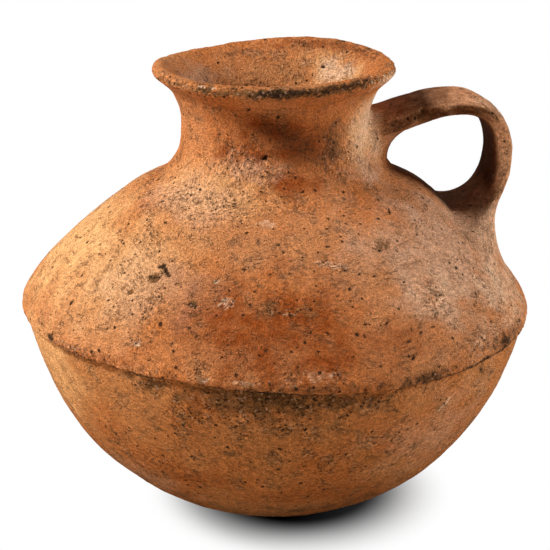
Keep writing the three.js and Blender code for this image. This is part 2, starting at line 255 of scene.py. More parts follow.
@dataclass
class PotForm:
    """Sizes of the pot in millimetres and the outlines that follow from them."""

    rest_radius: float = 26.0
    mould_line_height: float = 33.0
    belly_height: float = 107.5
    carination_radius: float = 126.0
    shoulder_rise: float = 63.5
    body_wall: float = 7.0
    body_scarf: float = 6.0
    lap_overhang: float = 1.6
    lap_drop: float = 1.8
    lap_rise: float = 9.0
    carination_coil_leg: float = 15.0
    coil_edge: float = 0.8
    neck_foot_radius: float = 50.0
    neck_rise: float = 40.0
    neck_waist_radius: float = 45.5
    neck_waist_rise: float = 28.0
    neck_top_radius: float = 48.8
    neck_wall: float = 5.8
    neck_coil_leg: float = 16.0
    lip_radius: float = 59.3
    lip_rise: float = 12.0
    lip_thickness: float = 6.8
    rim_scarf: float = 3.0
    seam: float = 0.3
    rest_slope: float = 17.0
    belly_top_slope: float = 77.0
    shoulder_edge_fullness: float = 0.11
    shoulder_top_slope: float = 12.0
    shoulder_top_fullness: float = 0.33
    neck_foot_slope: float = 110.0
    neck_top_slope: float = 68.0
    lip_lower_angle: float = -50.0
    lip_upper_angle: float = 130.0
    wave_spread: float = 58.0
    smoothing: float = 2.2
    curve_step: float = 0.2
    search_step: float = 0.4
    carination_waves: tuple[Wave, ...] = (
        Wave(1, 2.15, -166), Wave(2, 1.35, 51), Wave(3, 0.8, -15), Wave(5, 0.55, -34),
    )
    rim_waves: tuple[Wave, ...] = (Wave(1, 1.35, 28), Wave(2, 0.65, 40), Wave(3, 0.65, -57))

    def __post_init__(self) -> None:
        """Draws the walls and joins their visible stretches into one skin."""
        self.neck_foot_height = self.belly_height + self.shoulder_rise
        self.lip_height = self.neck_foot_height + self.neck_rise + self.lip_rise
        belly_top = np.array([self.carination_radius - self.lap_overhang, self.belly_height - self.lap_drop])
        carination = np.array([self.carination_radius, self.belly_height])
        neck_foot = np.array([self.neck_foot_radius, self.neck_foot_height])
        waist = np.array([self.neck_waist_radius, self.neck_foot_height + self.neck_waist_rise])
        neck_top = np.array([self.neck_top_radius, self.neck_foot_height + self.neck_rise])
        rest_edge = np.array([self.rest_radius, 0.0])
        self.belly = Outline(bow(rest_edge, self.rest_slope, belly_top, self.belly_top_slope))
        self.shoulder = Outline(bow(
            carination, 90, neck_foot, 180 - self.shoulder_top_slope,
            self.shoulder_edge_fullness, self.shoulder_top_fullness,
        ))
        neck_lower = bow(neck_foot, self.neck_foot_slope, waist, 90)
        neck_upper = bow(waist, 90, neck_top, self.neck_top_slope)
        self.neck = Outline(np.vstack([neck_lower, neck_upper[1:]]))
        self.skin, self.ways = self._skin(belly_top, carination, neck_foot)

    def _on_lip(self, degrees: np.ndarray) -> np.ndarray:
        """Points on the round of the lip."""
        half = self.lip_thickness / 2
        turn = np.radians(degrees)
        middle = np.array([self.lip_radius - half, self.lip_height])
        return middle + half * np.column_stack([np.cos(turn), np.sin(turn)])

    def _skin(
        self, belly_top: np.ndarray, carination: np.ndarray, neck_foot: np.ndarray,
    ) -> tuple[Outline, Stations]:
        """Joins the visible stretches from the middle of the resting face to the foot of the neck's inside.

        Args:
            belly_top: Upper end of the belly wall.
            carination: Widest point of the shoulder.
            neck_foot: Corner between shoulder and neck.

        Returns:
            The skin's outline, and the ways along it to the ends of its stretches.
        """
        step = self.curve_step
        mould_way = float(np.interp(self.mould_line_height, self.belly.points[:, 1], self.belly.way))
        coil_start = self.shoulder.length - self.neck_coil_leg
        coil_low = self.shoulder.at(np.array([coil_start]))
        coil_high = self.neck.at(np.array([self.neck_coil_leg]))
        lip_low, lip_high = self._on_lip(np.array([self.lip_lower_angle, self.lip_upper_angle]))
        inner_way = np.linspace(self.neck.length - self.rim_scarf, self.neck_wall, 200)
        inner_neck = self.neck.at(inner_way, -self.neck_wall)
        stretches = {
            "rest": np.array([[0.0, 0.0], [self.rest_radius, 0.0]]),
            "mould": self.belly.stretch(0, mould_way, step),
            "lap": self.belly.stretch(mould_way, self.belly.length, step),
            "crest": hollow(belly_top, np.array([carination[0], belly_top[1]]), carination, 41),
            "coil_low": self.shoulder.stretch(0, coil_start, step),
            "coil_high": hollow(coil_low, neck_foot + 2 * self.seam, coil_high, 121),
            "rim_seam": self.neck.stretch(self.neck_coil_leg, self.neck.length, step),
            "lip_under": bow(self.neck.points[-1], self.neck_top_slope, lip_low, self.lip_lower_angle + 90),
            "lip_over": self._on_lip(np.linspace(self.lip_lower_angle, self.lip_upper_angle, 121)),
            "throat_foot": bow(lip_high, self.lip_upper_angle + 90, inner_neck[0], self.neck_top_slope + 180),
            "inner_foot": inner_neck,
        }
        first, *others = stretches.values()
        points = np.vstack([first, *(stretch[1:] for stretch in others)])
        ends = dict(zip(stretches, np.cumsum([len(stretch) - 1 for stretch in stretches.values()])))
        points = self._eased(points, ends["crest"], ends["rim_seam"])
        way = lengths(points)
        return Outline(points), Stations(**{name: float(way[end]) for name, end in ends.items()})

    def _eased(self, points: np.ndarray, first: int, last: int) -> np.ndarray:
        """Wipes the corners out of the stretch between two points, as a wet hand does.

        Args:
            points: The whole outline.
            first: Index where the wiped stretch begins.
            last: Index where it ends.

        Returns:
            The outline with that stretch smoothed.
        """
        span = points[first : last + 1]
        way = lengths(span)
        weights = np.exp(-0.5 * ((way[:, None] - way[None, :]) / self.smoothing) ** 2)
        weights *= np.gradient(way)[None, :]
        smooth = weights @ span / weights.sum(axis=1)[:, None]
        near, far = 2 * self.smoothing, 8 * self.smoothing
        blend = smoothstep(way, near, far) * smoothstep(way[-1] - way, near, far)
        eased = points.copy()
        eased[first : last + 1] = span + blend[:, None] * (smooth - span)
        return eased

    def lift(self, bearing: np.ndarray, height: np.ndarray) -> np.ndarray:
        """How far the hand-built waves raise the wall.

        Args:
            bearing: Angles round the pot in radians.
            height: Heights before the waves.

        Returns:
            The rise at each point.
        """
        reach = np.clip((height - self.belly_height) / self.wave_spread, -1, 1)
        at_carination = np.cos(reach * math.pi / 2) ** 2
        at_rim = smoothstep(height, self.neck_foot_height, self.lip_height)
        carination = sum(wave.lift(bearing) for wave in self.carination_waves)
        rim = sum(wave.lift(bearing) for wave in self.rim_waves)
        return at_carination * carination + at_rim * rim

    def outside_way(self, height: float) -> float:
        """Way along the skin to a height on the outside."""
        top = np.searchsorted(self.skin.way, (self.ways.lip_under + self.ways.lip_over) / 2)
        return float(np.interp(height, np.maximum.accumulate(self.skin.points[:top, 1]), self.skin.way[:top]))

    def inside_way(self, height: float) -> float:
        """Way along the skin to a height in the throat."""
        top = np.searchsorted(self.skin.way, self.ways.lip_over)
        return float(np.interp(-height, -self.skin.points[top:, 1], self.skin.way[top:]))

    def beside(self, spots: np.ndarray) -> tuple[np.ndarray, np.ndarray]:
        """Finds the nearest places on the outer wall above the carination.

        Args:
            spots: Points near the wall.

        Returns:
            Their ways along the skin, and the points' distances from the wall, negative inside it.
        """
        bearing = np.arctan2(spots[:, 1], spots[:, 0])
        height = spots[:, 2] - self.lift(bearing, spots[:, 2])
        flat = np.column_stack([np.hypot(spots[:, 0], spots[:, 1]), height])
        way = np.arange(self.ways.crest, self.ways.lip_under, self.search_step)
        wall, normal = self.skin.at(way), self.skin.normal(way)
        nearest = ((flat[:, None, :] - wall[None, :, :]) ** 2).sum(axis=2).argmin(axis=1)
        return way[nearest], ((flat - wall[nearest]) * normal[nearest]).sum(axis=1)

    def clearance(self, spots: np.ndarray) -> np.ndarray:
        """Distance of points from the outer wall above the carination, negative inside it."""
        return self.beside(spots)[1]


@dataclass(frozen=True)
class Mark:
    """A worn, stained or broken place on the wall, or a patch of painted light and shade, in degrees from the
    handle and millimetres.
    """

    bearing: float
    height: float
    across: float
    up: float
    tone: Tone
    strength: float = 1.0
    depth: float = 0.0
    tilt: float = 0.0
    ragged: float = 0.35
    soft: float = 0.5
    inside: bool = False


@dataclass(frozen=True)
class Swell:
    """A soft band along the skin: its height, its drop below a station of the skin and its width."""

    height: float
    drop: float
    width: float

    def at(self, way: np.ndarray, station: float) -> np.ndarray:
        """Height of the band at ways along the skin."""
        return self.height * bell(way, station - self.drop, self.width)


@dataclass(frozen=True)
class LapRelief:
    """Relief of the lap seam in millimetres: smeared over in places, chipped and grooved in others."""

    smear: float = 0.9
    smear_reach: tuple[float, float] = (9.0, 0.6)
    smear_sizes: tuple[float, float] = (13.0, 45.0)
    groove: Swell = Swell(1.3, 2.4, 2.6)
    chips: Swell = Swell(0.8, 1.5, 2.4)
    chip_size: float = 6.0
    crumbs: Lumps = Lumps(0.42, 3.2)
    crumbs_reach: float = 6.0
    level: float = 40.0

    def push(self, work: "HandWork", spots: np.ndarray, way: np.ndarray) -> np.ndarray:
        """How far the seam stands proud of the even form at given points of the skin."""
        lap, patches = work.form.ways.lap, work.patch_noise
        far, near = self.smear_reach
        below = smoothstep(way, lap - far, lap - near) * (way <= lap)
        around = np.column_stack([spots[:, 0], spots[:, 1], np.full(len(spots), self.level)])
        broken = sum(0.7 * patches.at(around, size) for size in self.smear_sizes)
        smeared = smoothstep(broken, 0.2, 0.9)
        chipped = smoothstep(patches.at(spots, self.chip_size), 0.15, 0.9)
        total = self.smear * smeared * below
        total -= (1 - smeared) * self.groove.at(way, lap) * (way <= lap)
        total -= chipped * self.chips.at(way, work.form.ways.crest) * (way > lap)
        return total + self.crumbs.on(work.noise, spots) * bell(way, lap, self.crumbs_reach)


@dataclass(frozen=True)
class LipRelief:
    """Relief of the lip in millimetres: lumps, a rough outer edge with small breaks, and a squeezed side."""

    lumps: Lumps = Lumps(0.3, 11)
    knots: Lumps = Lumps(0.22, 4.5)
    reach: float = 8.0
    sink: float = 0.3
    squeeze: float = 1.3
    squeeze_spread: float = 0.85
    breaks: Swell = Swell(0.55, 1.5, 3.5)
    break_size: float = 3.4
    break_shift: float = 80.0

    def push(self, work: "HandWork", spots: np.ndarray, bearing: np.ndarray, way: np.ndarray) -> np.ndarray:
        """How far the lip stands proud of the even form at given points of the skin."""
        ways, patches = work.form.ways, work.patch_noise
        middle = (ways.lip_under + ways.lip_over) / 2
        broken = smoothstep(patches.at(spots + self.break_shift, self.break_size), 0.35, 0.9)
        squeezed = self.squeeze * bell(wrapped(bearing), 0, self.squeeze_spread)
        lumps = self.lumps.on(work.noise, spots) + self.knots.on(patches, spots)
        near = bell(way, middle, self.reach)
        return near * (lumps - squeezed - self.sink) - broken * self.breaks.at(way, middle)


@dataclass
class HandWork:
    """What hands, fire and wear did to the skin of the pot, with patches of painted light and shade among its
    marks, in millimetres and radians.
    """

    form: PotForm
    marks: Sequence[Mark]
    noise: ClayNoise = ClayNoise(11)
    patch_noise: ClayNoise = ClayNoise(29)
    wipe_radius: float = 44.0
    wipe_sway: Lumps = Lumps(8.0, 42)
    wipe: Lumps = Lumps(0.12, 5)
    wide: Lumps = Lumps(0.55, 52)
    wide_less_on_neck: float = 0.25
    thumb: Lumps = Lumps(0.22, 17)
    thumb_shift: float = 300.0
    grain: Lumps = Lumps(0.07, 3)
    rough_grain: float = 0.26
    belly_swell: float = 0.9
    shoulder_swell: Swell = Swell(1.3, 4, 17)
    handle_swell: Swell = Swell(1.7, 5, 21)
    handle_swell_turn: float = -0.12
    handle_swell_spread: float = 0.6
    rest_margin: float = 18.0
    lap_relief: LapRelief = LapRelief()
    lip_relief: LipRelief = LipRelief()
    edge_lumps: tuple[float, float] = (1.1, 14.0)

    def lay(self, spots: np.ndarray, bearing: np.ndarray, way: np.ndarray) -> np.ndarray:
        """Coordinates in which wiping strokes run round the pot and sway up and down."""
        across = self.wipe_radius * np.column_stack([np.cos(bearing), np.sin(bearing)])
        return np.column_stack([across, way + self.wipe_sway.on(self.noise, spots)])

    def push(self, spots: np.ndarray, bearing: np.ndarray, way: np.ndarray, rough: np.ndarray) -> np.ndarray:
        """How far the worked surface stands proud of the even form.

        Args:
            spots: Points on the even form.
            bearing: Their angles round the pot in radians.
            way: Their ways along the skin.
            rough: How far the skin has worn off to coarse clay.

        Returns:
            Millimetres outward for each point.
        """
        ways, noise = self.form.ways, self.noise
        neck = smoothstep(way, ways.coil_low, ways.coil_high)
        total = (self.wide.height - self.wide_less_on_neck * neck) * noise.at(spots, self.wide.size)
        total += self.thumb.on(noise, spots + self.thumb_shift)
        total += self.belly_swell * np.sin(math.pi * np.clip(way / ways.lap, 0, 1))
        total += self.shoulder_swell.at(way, ways.coil_low)
        near_handle = bell(wrapped(bearing - self.handle_swell_turn), 0, self.handle_swell_spread)
        total += near_handle * self.handle_swell.at(way, ways.coil_low)
        total += self.wipe.on(noise, self.lay(spots, bearing, way))
        total += (self.grain.height + self.rough_grain * rough) * noise.at(spots, self.grain.size)
        total += self.lap_relief.push(self, spots, way)
        total += self.lip_relief.push(self, spots, bearing, way)
        return total * smoothstep(way, ways.rest, ways.rest + self.rest_margin)

    def wear(
        self, spots: np.ndarray, bearing: np.ndarray, way: np.ndarray, radius: np.ndarray,
    ) -> tuple[np.ndarray, Tones]:
        """Adds up the marks.

        Args:
            spots: Points on the even form.
            bearing: Their angles round the pot in radians.
            way: Their ways along the skin.
            radius: Their distances from the pot's axis.

        Returns:
            Depth of the marks in millimetres, and the strength of each tone.
        """
        depth = np.zeros(len(spots))
        tones = {tone: np.zeros(len(spots)) for tone in Tone}
        for mark in self.marks:
            find = self.form.inside_way if mark.inside else self.form.outside_way
            rise = way - find(mark.height)
            run = wrapped(bearing - math.radians(mark.bearing)) * radius
            reach = 1.5 * max(mark.across, mark.up)
            near = np.flatnonzero((np.abs(rise) < reach) & (np.abs(run) < reach))
            if len(near):
                weight = self._weight(mark, spots[near], run[near], rise[near])
                depth[near] = np.maximum(depth[near], mark.depth * weight)
                held = tones[mark.tone]
                held[near] = np.maximum(held[near], mark.strength * weight)
        return depth, tones

    def _weight(self, mark: Mark, spots: np.ndarray, run: np.ndarray, rise: np.ndarray) -> np.ndarray:
        """How strongly points lie in a mark.

        Args:
            mark: The mark.
            spots: Points near it.
            run: Their distances from its middle round the pot.
            rise: Their distances from its middle up the wall.

        Returns:
            1 well inside the mark, 0 outside its ragged edge.
        """
        tilt = math.radians(mark.tilt)
        along = run * math.cos(tilt) + rise * math.sin(tilt)
        over = rise * math.cos(tilt) - run * math.sin(tilt)
        lump = float(np.clip(0.55 * min(mark.across, mark.up), *self.edge_lumps))
        edge = self.patch_noise.at(spots, lump) + 0.5 * self.noise.at(spots, lump / 2.3)
        far = np.hypot(along / mark.across, over / mark.up) + mark.ragged * edge
        return 1 - smoothstep(far, 1 - mark.soft, 1)


@dataclass
class Course:
    """A stretch of a ring's outline, with its ways along the skin where it is part of it."""

    face: Face
    points: np.ndarray
    way: np.ndarray | None = None

    @property
    def ways(self) -> np.ndarray:
        """Ways along the skin, not a number off it."""
        return np.full(len(self.points), np.nan) if self.way is None else self.way


@dataclass
class Sheet:
    """Vertices, faces and clay attributes of one closed mesh."""

    spots: np.ndarray
    quads: np.ndarray
    fans: np.ndarray
    tones: Tones
    lay: np.ndarray
    seam_rings: list[np.ndarray]

    @classmethod
    def joined(
        cls, spots: np.ndarray, columns: int, tones: Tones, lay: np.ndarray,
        seam_rows: Sequence[int], ends: np.ndarray,
    ) -> "Sheet":
        """Joins rings of points to one closed mesh.

        Args:
            spots: Points, ring by ring.
            columns: How many points make a ring.
            tones: Strength of each tone at the points.
            lay: Wiping coordinates of the points and then of the ends.
            seam_rows: Rings at which the shading stops.
            ends: Points that close the first and the last ring, none where these two rings meet.

        Returns:
            The mesh.
        """
        column = np.arange(columns)
        following = (column + 1) % columns
        total = len(spots)
        top = total - columns
        low = np.arange(0, top if len(ends) else total, columns)[:, None]
        high = (low + columns) % total
        quads = np.stack([low + column, low + following, high + following, high + column], axis=2)
        fans = np.zeros((0, 3), int)
        if len(ends):
            first = np.column_stack([np.full(columns, total), following, column])
            last = np.column_stack([np.full(columns, total + 1), top + column, top + following])
            fans = np.vstack([first, last])
        toned = {tone: np.append(values, np.zeros(len(ends))) for tone, values in tones.items()}
        rings = [row * columns + column for row in seam_rows]
        return cls(np.vstack([spots, ends]), quads.reshape(-1, 4), fans, toned, lay, rings)

    def to_object(self, name: str) -> bpy.types.Object:
        """Makes the Blender object.

        Args:
            name: Name of the piece.

        Returns:
            The object, linked to the scene, with one attribute for each tone.
        """
        mesh = bpy.data.meshes.new(name)
        corners = np.concatenate([self.quads.ravel(), self.fans.ravel()]).astype(np.int32)
        fan_start = 4 * len(self.quads)
        starts = np.concatenate([np.arange(0, fan_start, 4), np.arange(fan_start, len(corners), 3)])
        mesh.vertices.add(len(self.spots))
        mesh.vertices.foreach_set("co", (self.spots * MM).astype(np.float32).ravel())
        mesh.loops.add(len(corners))
        mesh.loops.foreach_set("vertex_index", corners)
        mesh.polygons.add(len(starts))
        mesh.polygons.foreach_set("loop_start", starts.astype(np.int32))
        mesh.update(calc_edges=True)
        for tone, values in self.tones.items():
            held = mesh.attributes.new(tone.value, "FLOAT", "POINT")
            held.data.foreach_set("value", values.astype(np.float32))
        lay = mesh.attributes.new("lay", "FLOAT_VECTOR", "POINT")
        lay.data.foreach_set("vector", self.lay.astype(np.float32).ravel())
        self._mark_seams(mesh)
        piece = bpy.data.objects.new(name, mesh)
        bpy.context.scene.collection.objects.link(piece)
        return piece

    def _mark_seams(self, mesh: bpy.types.Mesh) -> None:
        """Sets the edges of the seam rings sharp, so that shading stops at a seam."""
        ring_of = np.full(len(self.spots), -1)
        for index, ring in enumerate(self.seam_rings):
            ring_of[ring] = index
        ends = np.zeros(len(mesh.edges) * 2, np.int32)
        mesh.edges.foreach_get("vertices", ends)
        first, second = ring_of[ends[0::2]], ring_of[ends[1::2]]
        sharp = mesh.attributes.new("sharp_edge", "BOOLEAN", "EDGE")
        sharp.data.foreach_set("value", (first >= 0) & (first == second))


@dataclass
class RingWall:
    """One piece of wall, turned about the pot's axis and worked by hand."""

    node: str
    slot: str
    courses: list[Course]
    columns: int

    def sheet(self, work: HandWork) -> Sheet:
        """Builds the closed mesh of the wall.

        Args:
            work: The hand work that shapes its skin.

        Returns:
            The worked mesh.
        """
        flat = np.vstack([course.points for course in self.courses])
        skin_way = np.concatenate([course.ways for course in self.courses])
        rings = np.flatnonzero(flat[:, 0] >= 1e-6)
        bearing = np.linspace(0, 2 * math.pi, self.columns, endpoint=False)
        turn = np.tile(bearing, len(rings))
        around = np.column_stack([np.cos(turn), np.sin(turn)])
        radius, height, way = np.repeat(np.column_stack([flat, skin_way])[rings], self.columns, axis=0).T
        spots = np.column_stack([radius[:, None] * around, height + work.form.lift(turn, height)])
        seen = np.flatnonzero(~np.isnan(way))
        tones = {tone: np.zeros(len(spots)) for tone in Tone}
        if len(seen):
            normal = work.form.skin.normal(way[seen])
            depth, found = work.wear(spots[seen], turn[seen], way[seen], radius[seen])
            push = work.push(spots[seen], turn[seen], way[seen], found[ROUGH]) - depth
            away = np.column_stack([normal[:, :1] * around[seen], normal[:, 1]])
            spots[seen] += away * push[:, None]
            for tone in Tone:
                tones[tone][seen] = found[tone]
        lay = work.lay(spots, turn, np.where(np.isnan(way), height, way))
        poles = flat[[0, -1], 1] if len(rings) < len(flat) else np.zeros(0)
        ends = np.column_stack([np.zeros((len(poles), 2)), poles])
        return Sheet.joined(spots, self.columns, tones, np.vstack([lay, ends]), self._seam_rows(rings), ends)

    def _seam_rows(self, rings: np.ndarray) -> list[int]:
        """Rings at which a stretch of skin begins or ends."""
        found = []
        row = 0
        for course in self.courses:
            last = row + len(course.points) - 1
            if course.face is Face.SKIN:
                found += list(np.searchsorted(rings, [row, last]))
            row = last + 1
        return found


@dataclass
class Walls:
    """The turned walls of the pot: body, neck and rim, with the spacing of their rings in millimetres."""

    form: PotForm
    fine: float = 0.95
    finer: float = 0.6
    finest: float = 0.5
    coarse: float = 7.0
    seam_step: float = 4.0
    coil_step: float = 5.0
    coil_lift: float = 0.1
    middle_hole: float = 1.5
    body_columns: int = 780
    neck_columns: int = 560
    inner_columns: int = 240

    def _seen(self, start: float, end: float, spacing: float, edge: float = 0.0) -> Course:
        """A course of the skin.

        Args:
            start: Way along the skin to its first ring.
            end: Way to its last ring.
            spacing: Distance between rings.
            edge: Width of a stretch at its start that gets rings at half that distance.

        Returns:
            The course.
        """
        fine = np.linspace(start, start + edge, int(round(2 * edge / spacing)) + 1)[:-1]
        way = np.linspace(start + edge, end, max(2, int(round((end - start - edge) / spacing)) + 1))
        way = np.concatenate([fine, way])
        return Course(Face.SKIN, self.form.skin.at(way), way)

    def rings(self) -> list[RingWall]:
        """All pieces of wall, from the resting face to the lip."""
        return [
            self._base_cup(), self._belly_wall(), self._shoulder_wall(), self._carination_coil(),
            self._neck_root_coil(), self._neck_collar(), self._rim_coil(),
        ]

    def _mould_way(self) -> float:
        """Way along the belly's own outline to the mould line."""
        return self.form.ways.mould - self.form.ways.rest

    def _base_cup(self) -> RingWall:
        """Bottom pressed in a mould, with its resting face."""
        form = self.form
        inner = form.belly.stretch(self._mould_way() + form.body_scarf, 0, self.coarse, -form.body_wall)
        middle = Course(Face.HIDDEN, np.array([[0.0, 0.0]]))
        floor = Course(Face.INNER, np.vstack([inner, [[0.0, form.body_wall]]]))
        courses = [middle, self._seen(self.middle_hole, form.ways.mould, self.fine), floor]
        return RingWall("base_cup", "belly_clay", courses, self.body_columns)

    def _lap_inner(self) -> np.ndarray:
        """Where the lap seam comes out on the inside of the shoulder."""
        form = self.form
        inside = form.shoulder.stretch(0, form.shoulder.length / 2, form.curve_step, -form.body_wall)
        return inside[np.argmax(inside[:, 1] > form.belly_height - form.lap_drop + form.lap_rise)]

    def _belly_wall(self) -> RingWall:
        """Raised wall from the mould line to the lap."""
        form = self.form
        lap = Course(Face.HIDDEN, self._lap_inner()[None, :] - [[0.0, form.seam]])
        start = self._mould_way() + form.body_scarf + form.seam
        inner = form.belly.stretch(form.belly.length, start, self.coarse, -form.body_wall)
        courses = [self._seen(form.ways.mould, form.ways.lap, self.fine), lap, Course(Face.INNER, inner)]
        return RingWall("belly_wall", "belly_clay", courses, self.body_columns)

    def _shoulder_wall(self) -> RingWall:
        """Upper wall: its rounded edge laps over the belly, its top runs under the neck's root coil."""
        form, ways = self.form, self.form.ways
        top = form.shoulder.length
        under = form.shoulder.stretch(top - form.neck_coil_leg, top, self.seam_step, -form.seam)[1:]
        seat = form.shoulder.at(np.array([top]), -form.body_wall)
        lap_inner = self._lap_inner()
        inner = form.shoulder.stretch(top, 0, self.coarse, -form.body_wall)
        inner = inner[inner[:, 1] > lap_inner[1]]
        courses = [
            self._seen(ways.lap, ways.coil_low, self.fine, ways.crest - ways.lap),
            Course(Face.HIDDEN, np.vstack([under, seat - [[form.body_scarf, 0.0]]])),
            Course(Face.INNER, np.vstack([inner, lap_inner[None, :]])),
        ]
        return RingWall("shoulder_wall", "shoulder_clay", courses, self.body_columns)

    def _carination_coil(self) -> RingWall:
        """Coil pressed into the angle behind the lap seam."""
        form = self.form
        back = form.body_wall + form.seam
        low = form.belly.length - form.carination_coil_leg
        on_belly = form.belly.stretch(low, form.belly.length, self.coil_step, -back)
        outside = form.shoulder.stretch(0, 2 * form.carination_coil_leg, self.seam_step, -back)
        on_shoulder = outside[outside[:, 1] > self._lap_inner()[1]]
        ends = np.vstack([on_shoulder[-1], on_belly[0]]) - [[form.coil_edge, 0.0]]
        face = hollow(ends[0], (on_belly[-1] + ends.mean(axis=0)) / 2, ends[1], 12)
        courses = [Course(Face.HIDDEN, np.vstack([on_belly, on_shoulder])), Course(Face.INNER, face)]
        return RingWall("carination_coil", "inner_clay", courses, self.inner_columns)

    def _neck_root_coil(self) -> RingWall:
        """Coil worked into the angle between neck and shoulder."""
        form = self.form
        corner, top = 2 * form.seam, form.shoulder.length
        on_neck = form.neck.stretch(form.neck_coil_leg, corner, self.coil_step, self.coil_lift)[1:]
        start, end = top - corner, top - form.neck_coil_leg
        on_shoulder = form.shoulder.stretch(start, end, self.coil_step, self.coil_lift)[:-1]
        back = Course(Face.HIDDEN, np.vstack([on_neck, on_shoulder]))
        courses = [self._seen(form.ways.coil_low, form.ways.coil_high, self.finer), back]
        return RingWall("neck_root_coil", "neck_clay", courses, self.neck_columns)

    def _neck_collar(self) -> RingWall:
        """Waisted neck, worked outside and in the throat."""
        form, ways = self.form, self.form.ways
        foot = form.neck.stretch(form.seam, form.neck_coil_leg, self.seam_step, -form.seam)[:-1]
        courses = [
            Course(Face.HIDDEN, foot),
            self._seen(ways.coil_high, ways.rim_seam, self.finer),
            self._seen(ways.throat_foot, ways.inner_foot, self.finer),
        ]
        return RingWall("neck_collar", "neck_clay", courses, self.neck_columns)

    def _rim_coil(self) -> RingWall:
        """Thick lip turned outward."""
        course = self._seen(self.form.ways.rim_seam, self.form.ways.throat_foot, self.finest)
        return RingWall("rim_coil", "rim_clay", [course], self.neck_columns)


@dataclass(frozen=True)
class Fillet:
    """Clay pressed round one end of the strap, by its reach in millimetres on each side of the strap."""

    outer: float
    side: float
    inner: float
    length: float

    def reach(self, turn: np.ndarray) -> np.ndarray:
        """Reach of the clay at angles round the strap's section."""
        up = np.sin(turn)
        outward, inward = np.clip(up, 0, 1) ** 2, np.clip(-up, 0, 1) ** 2
        return self.side + (self.outer - self.side) * outward + (self.inner - self.side) * inward


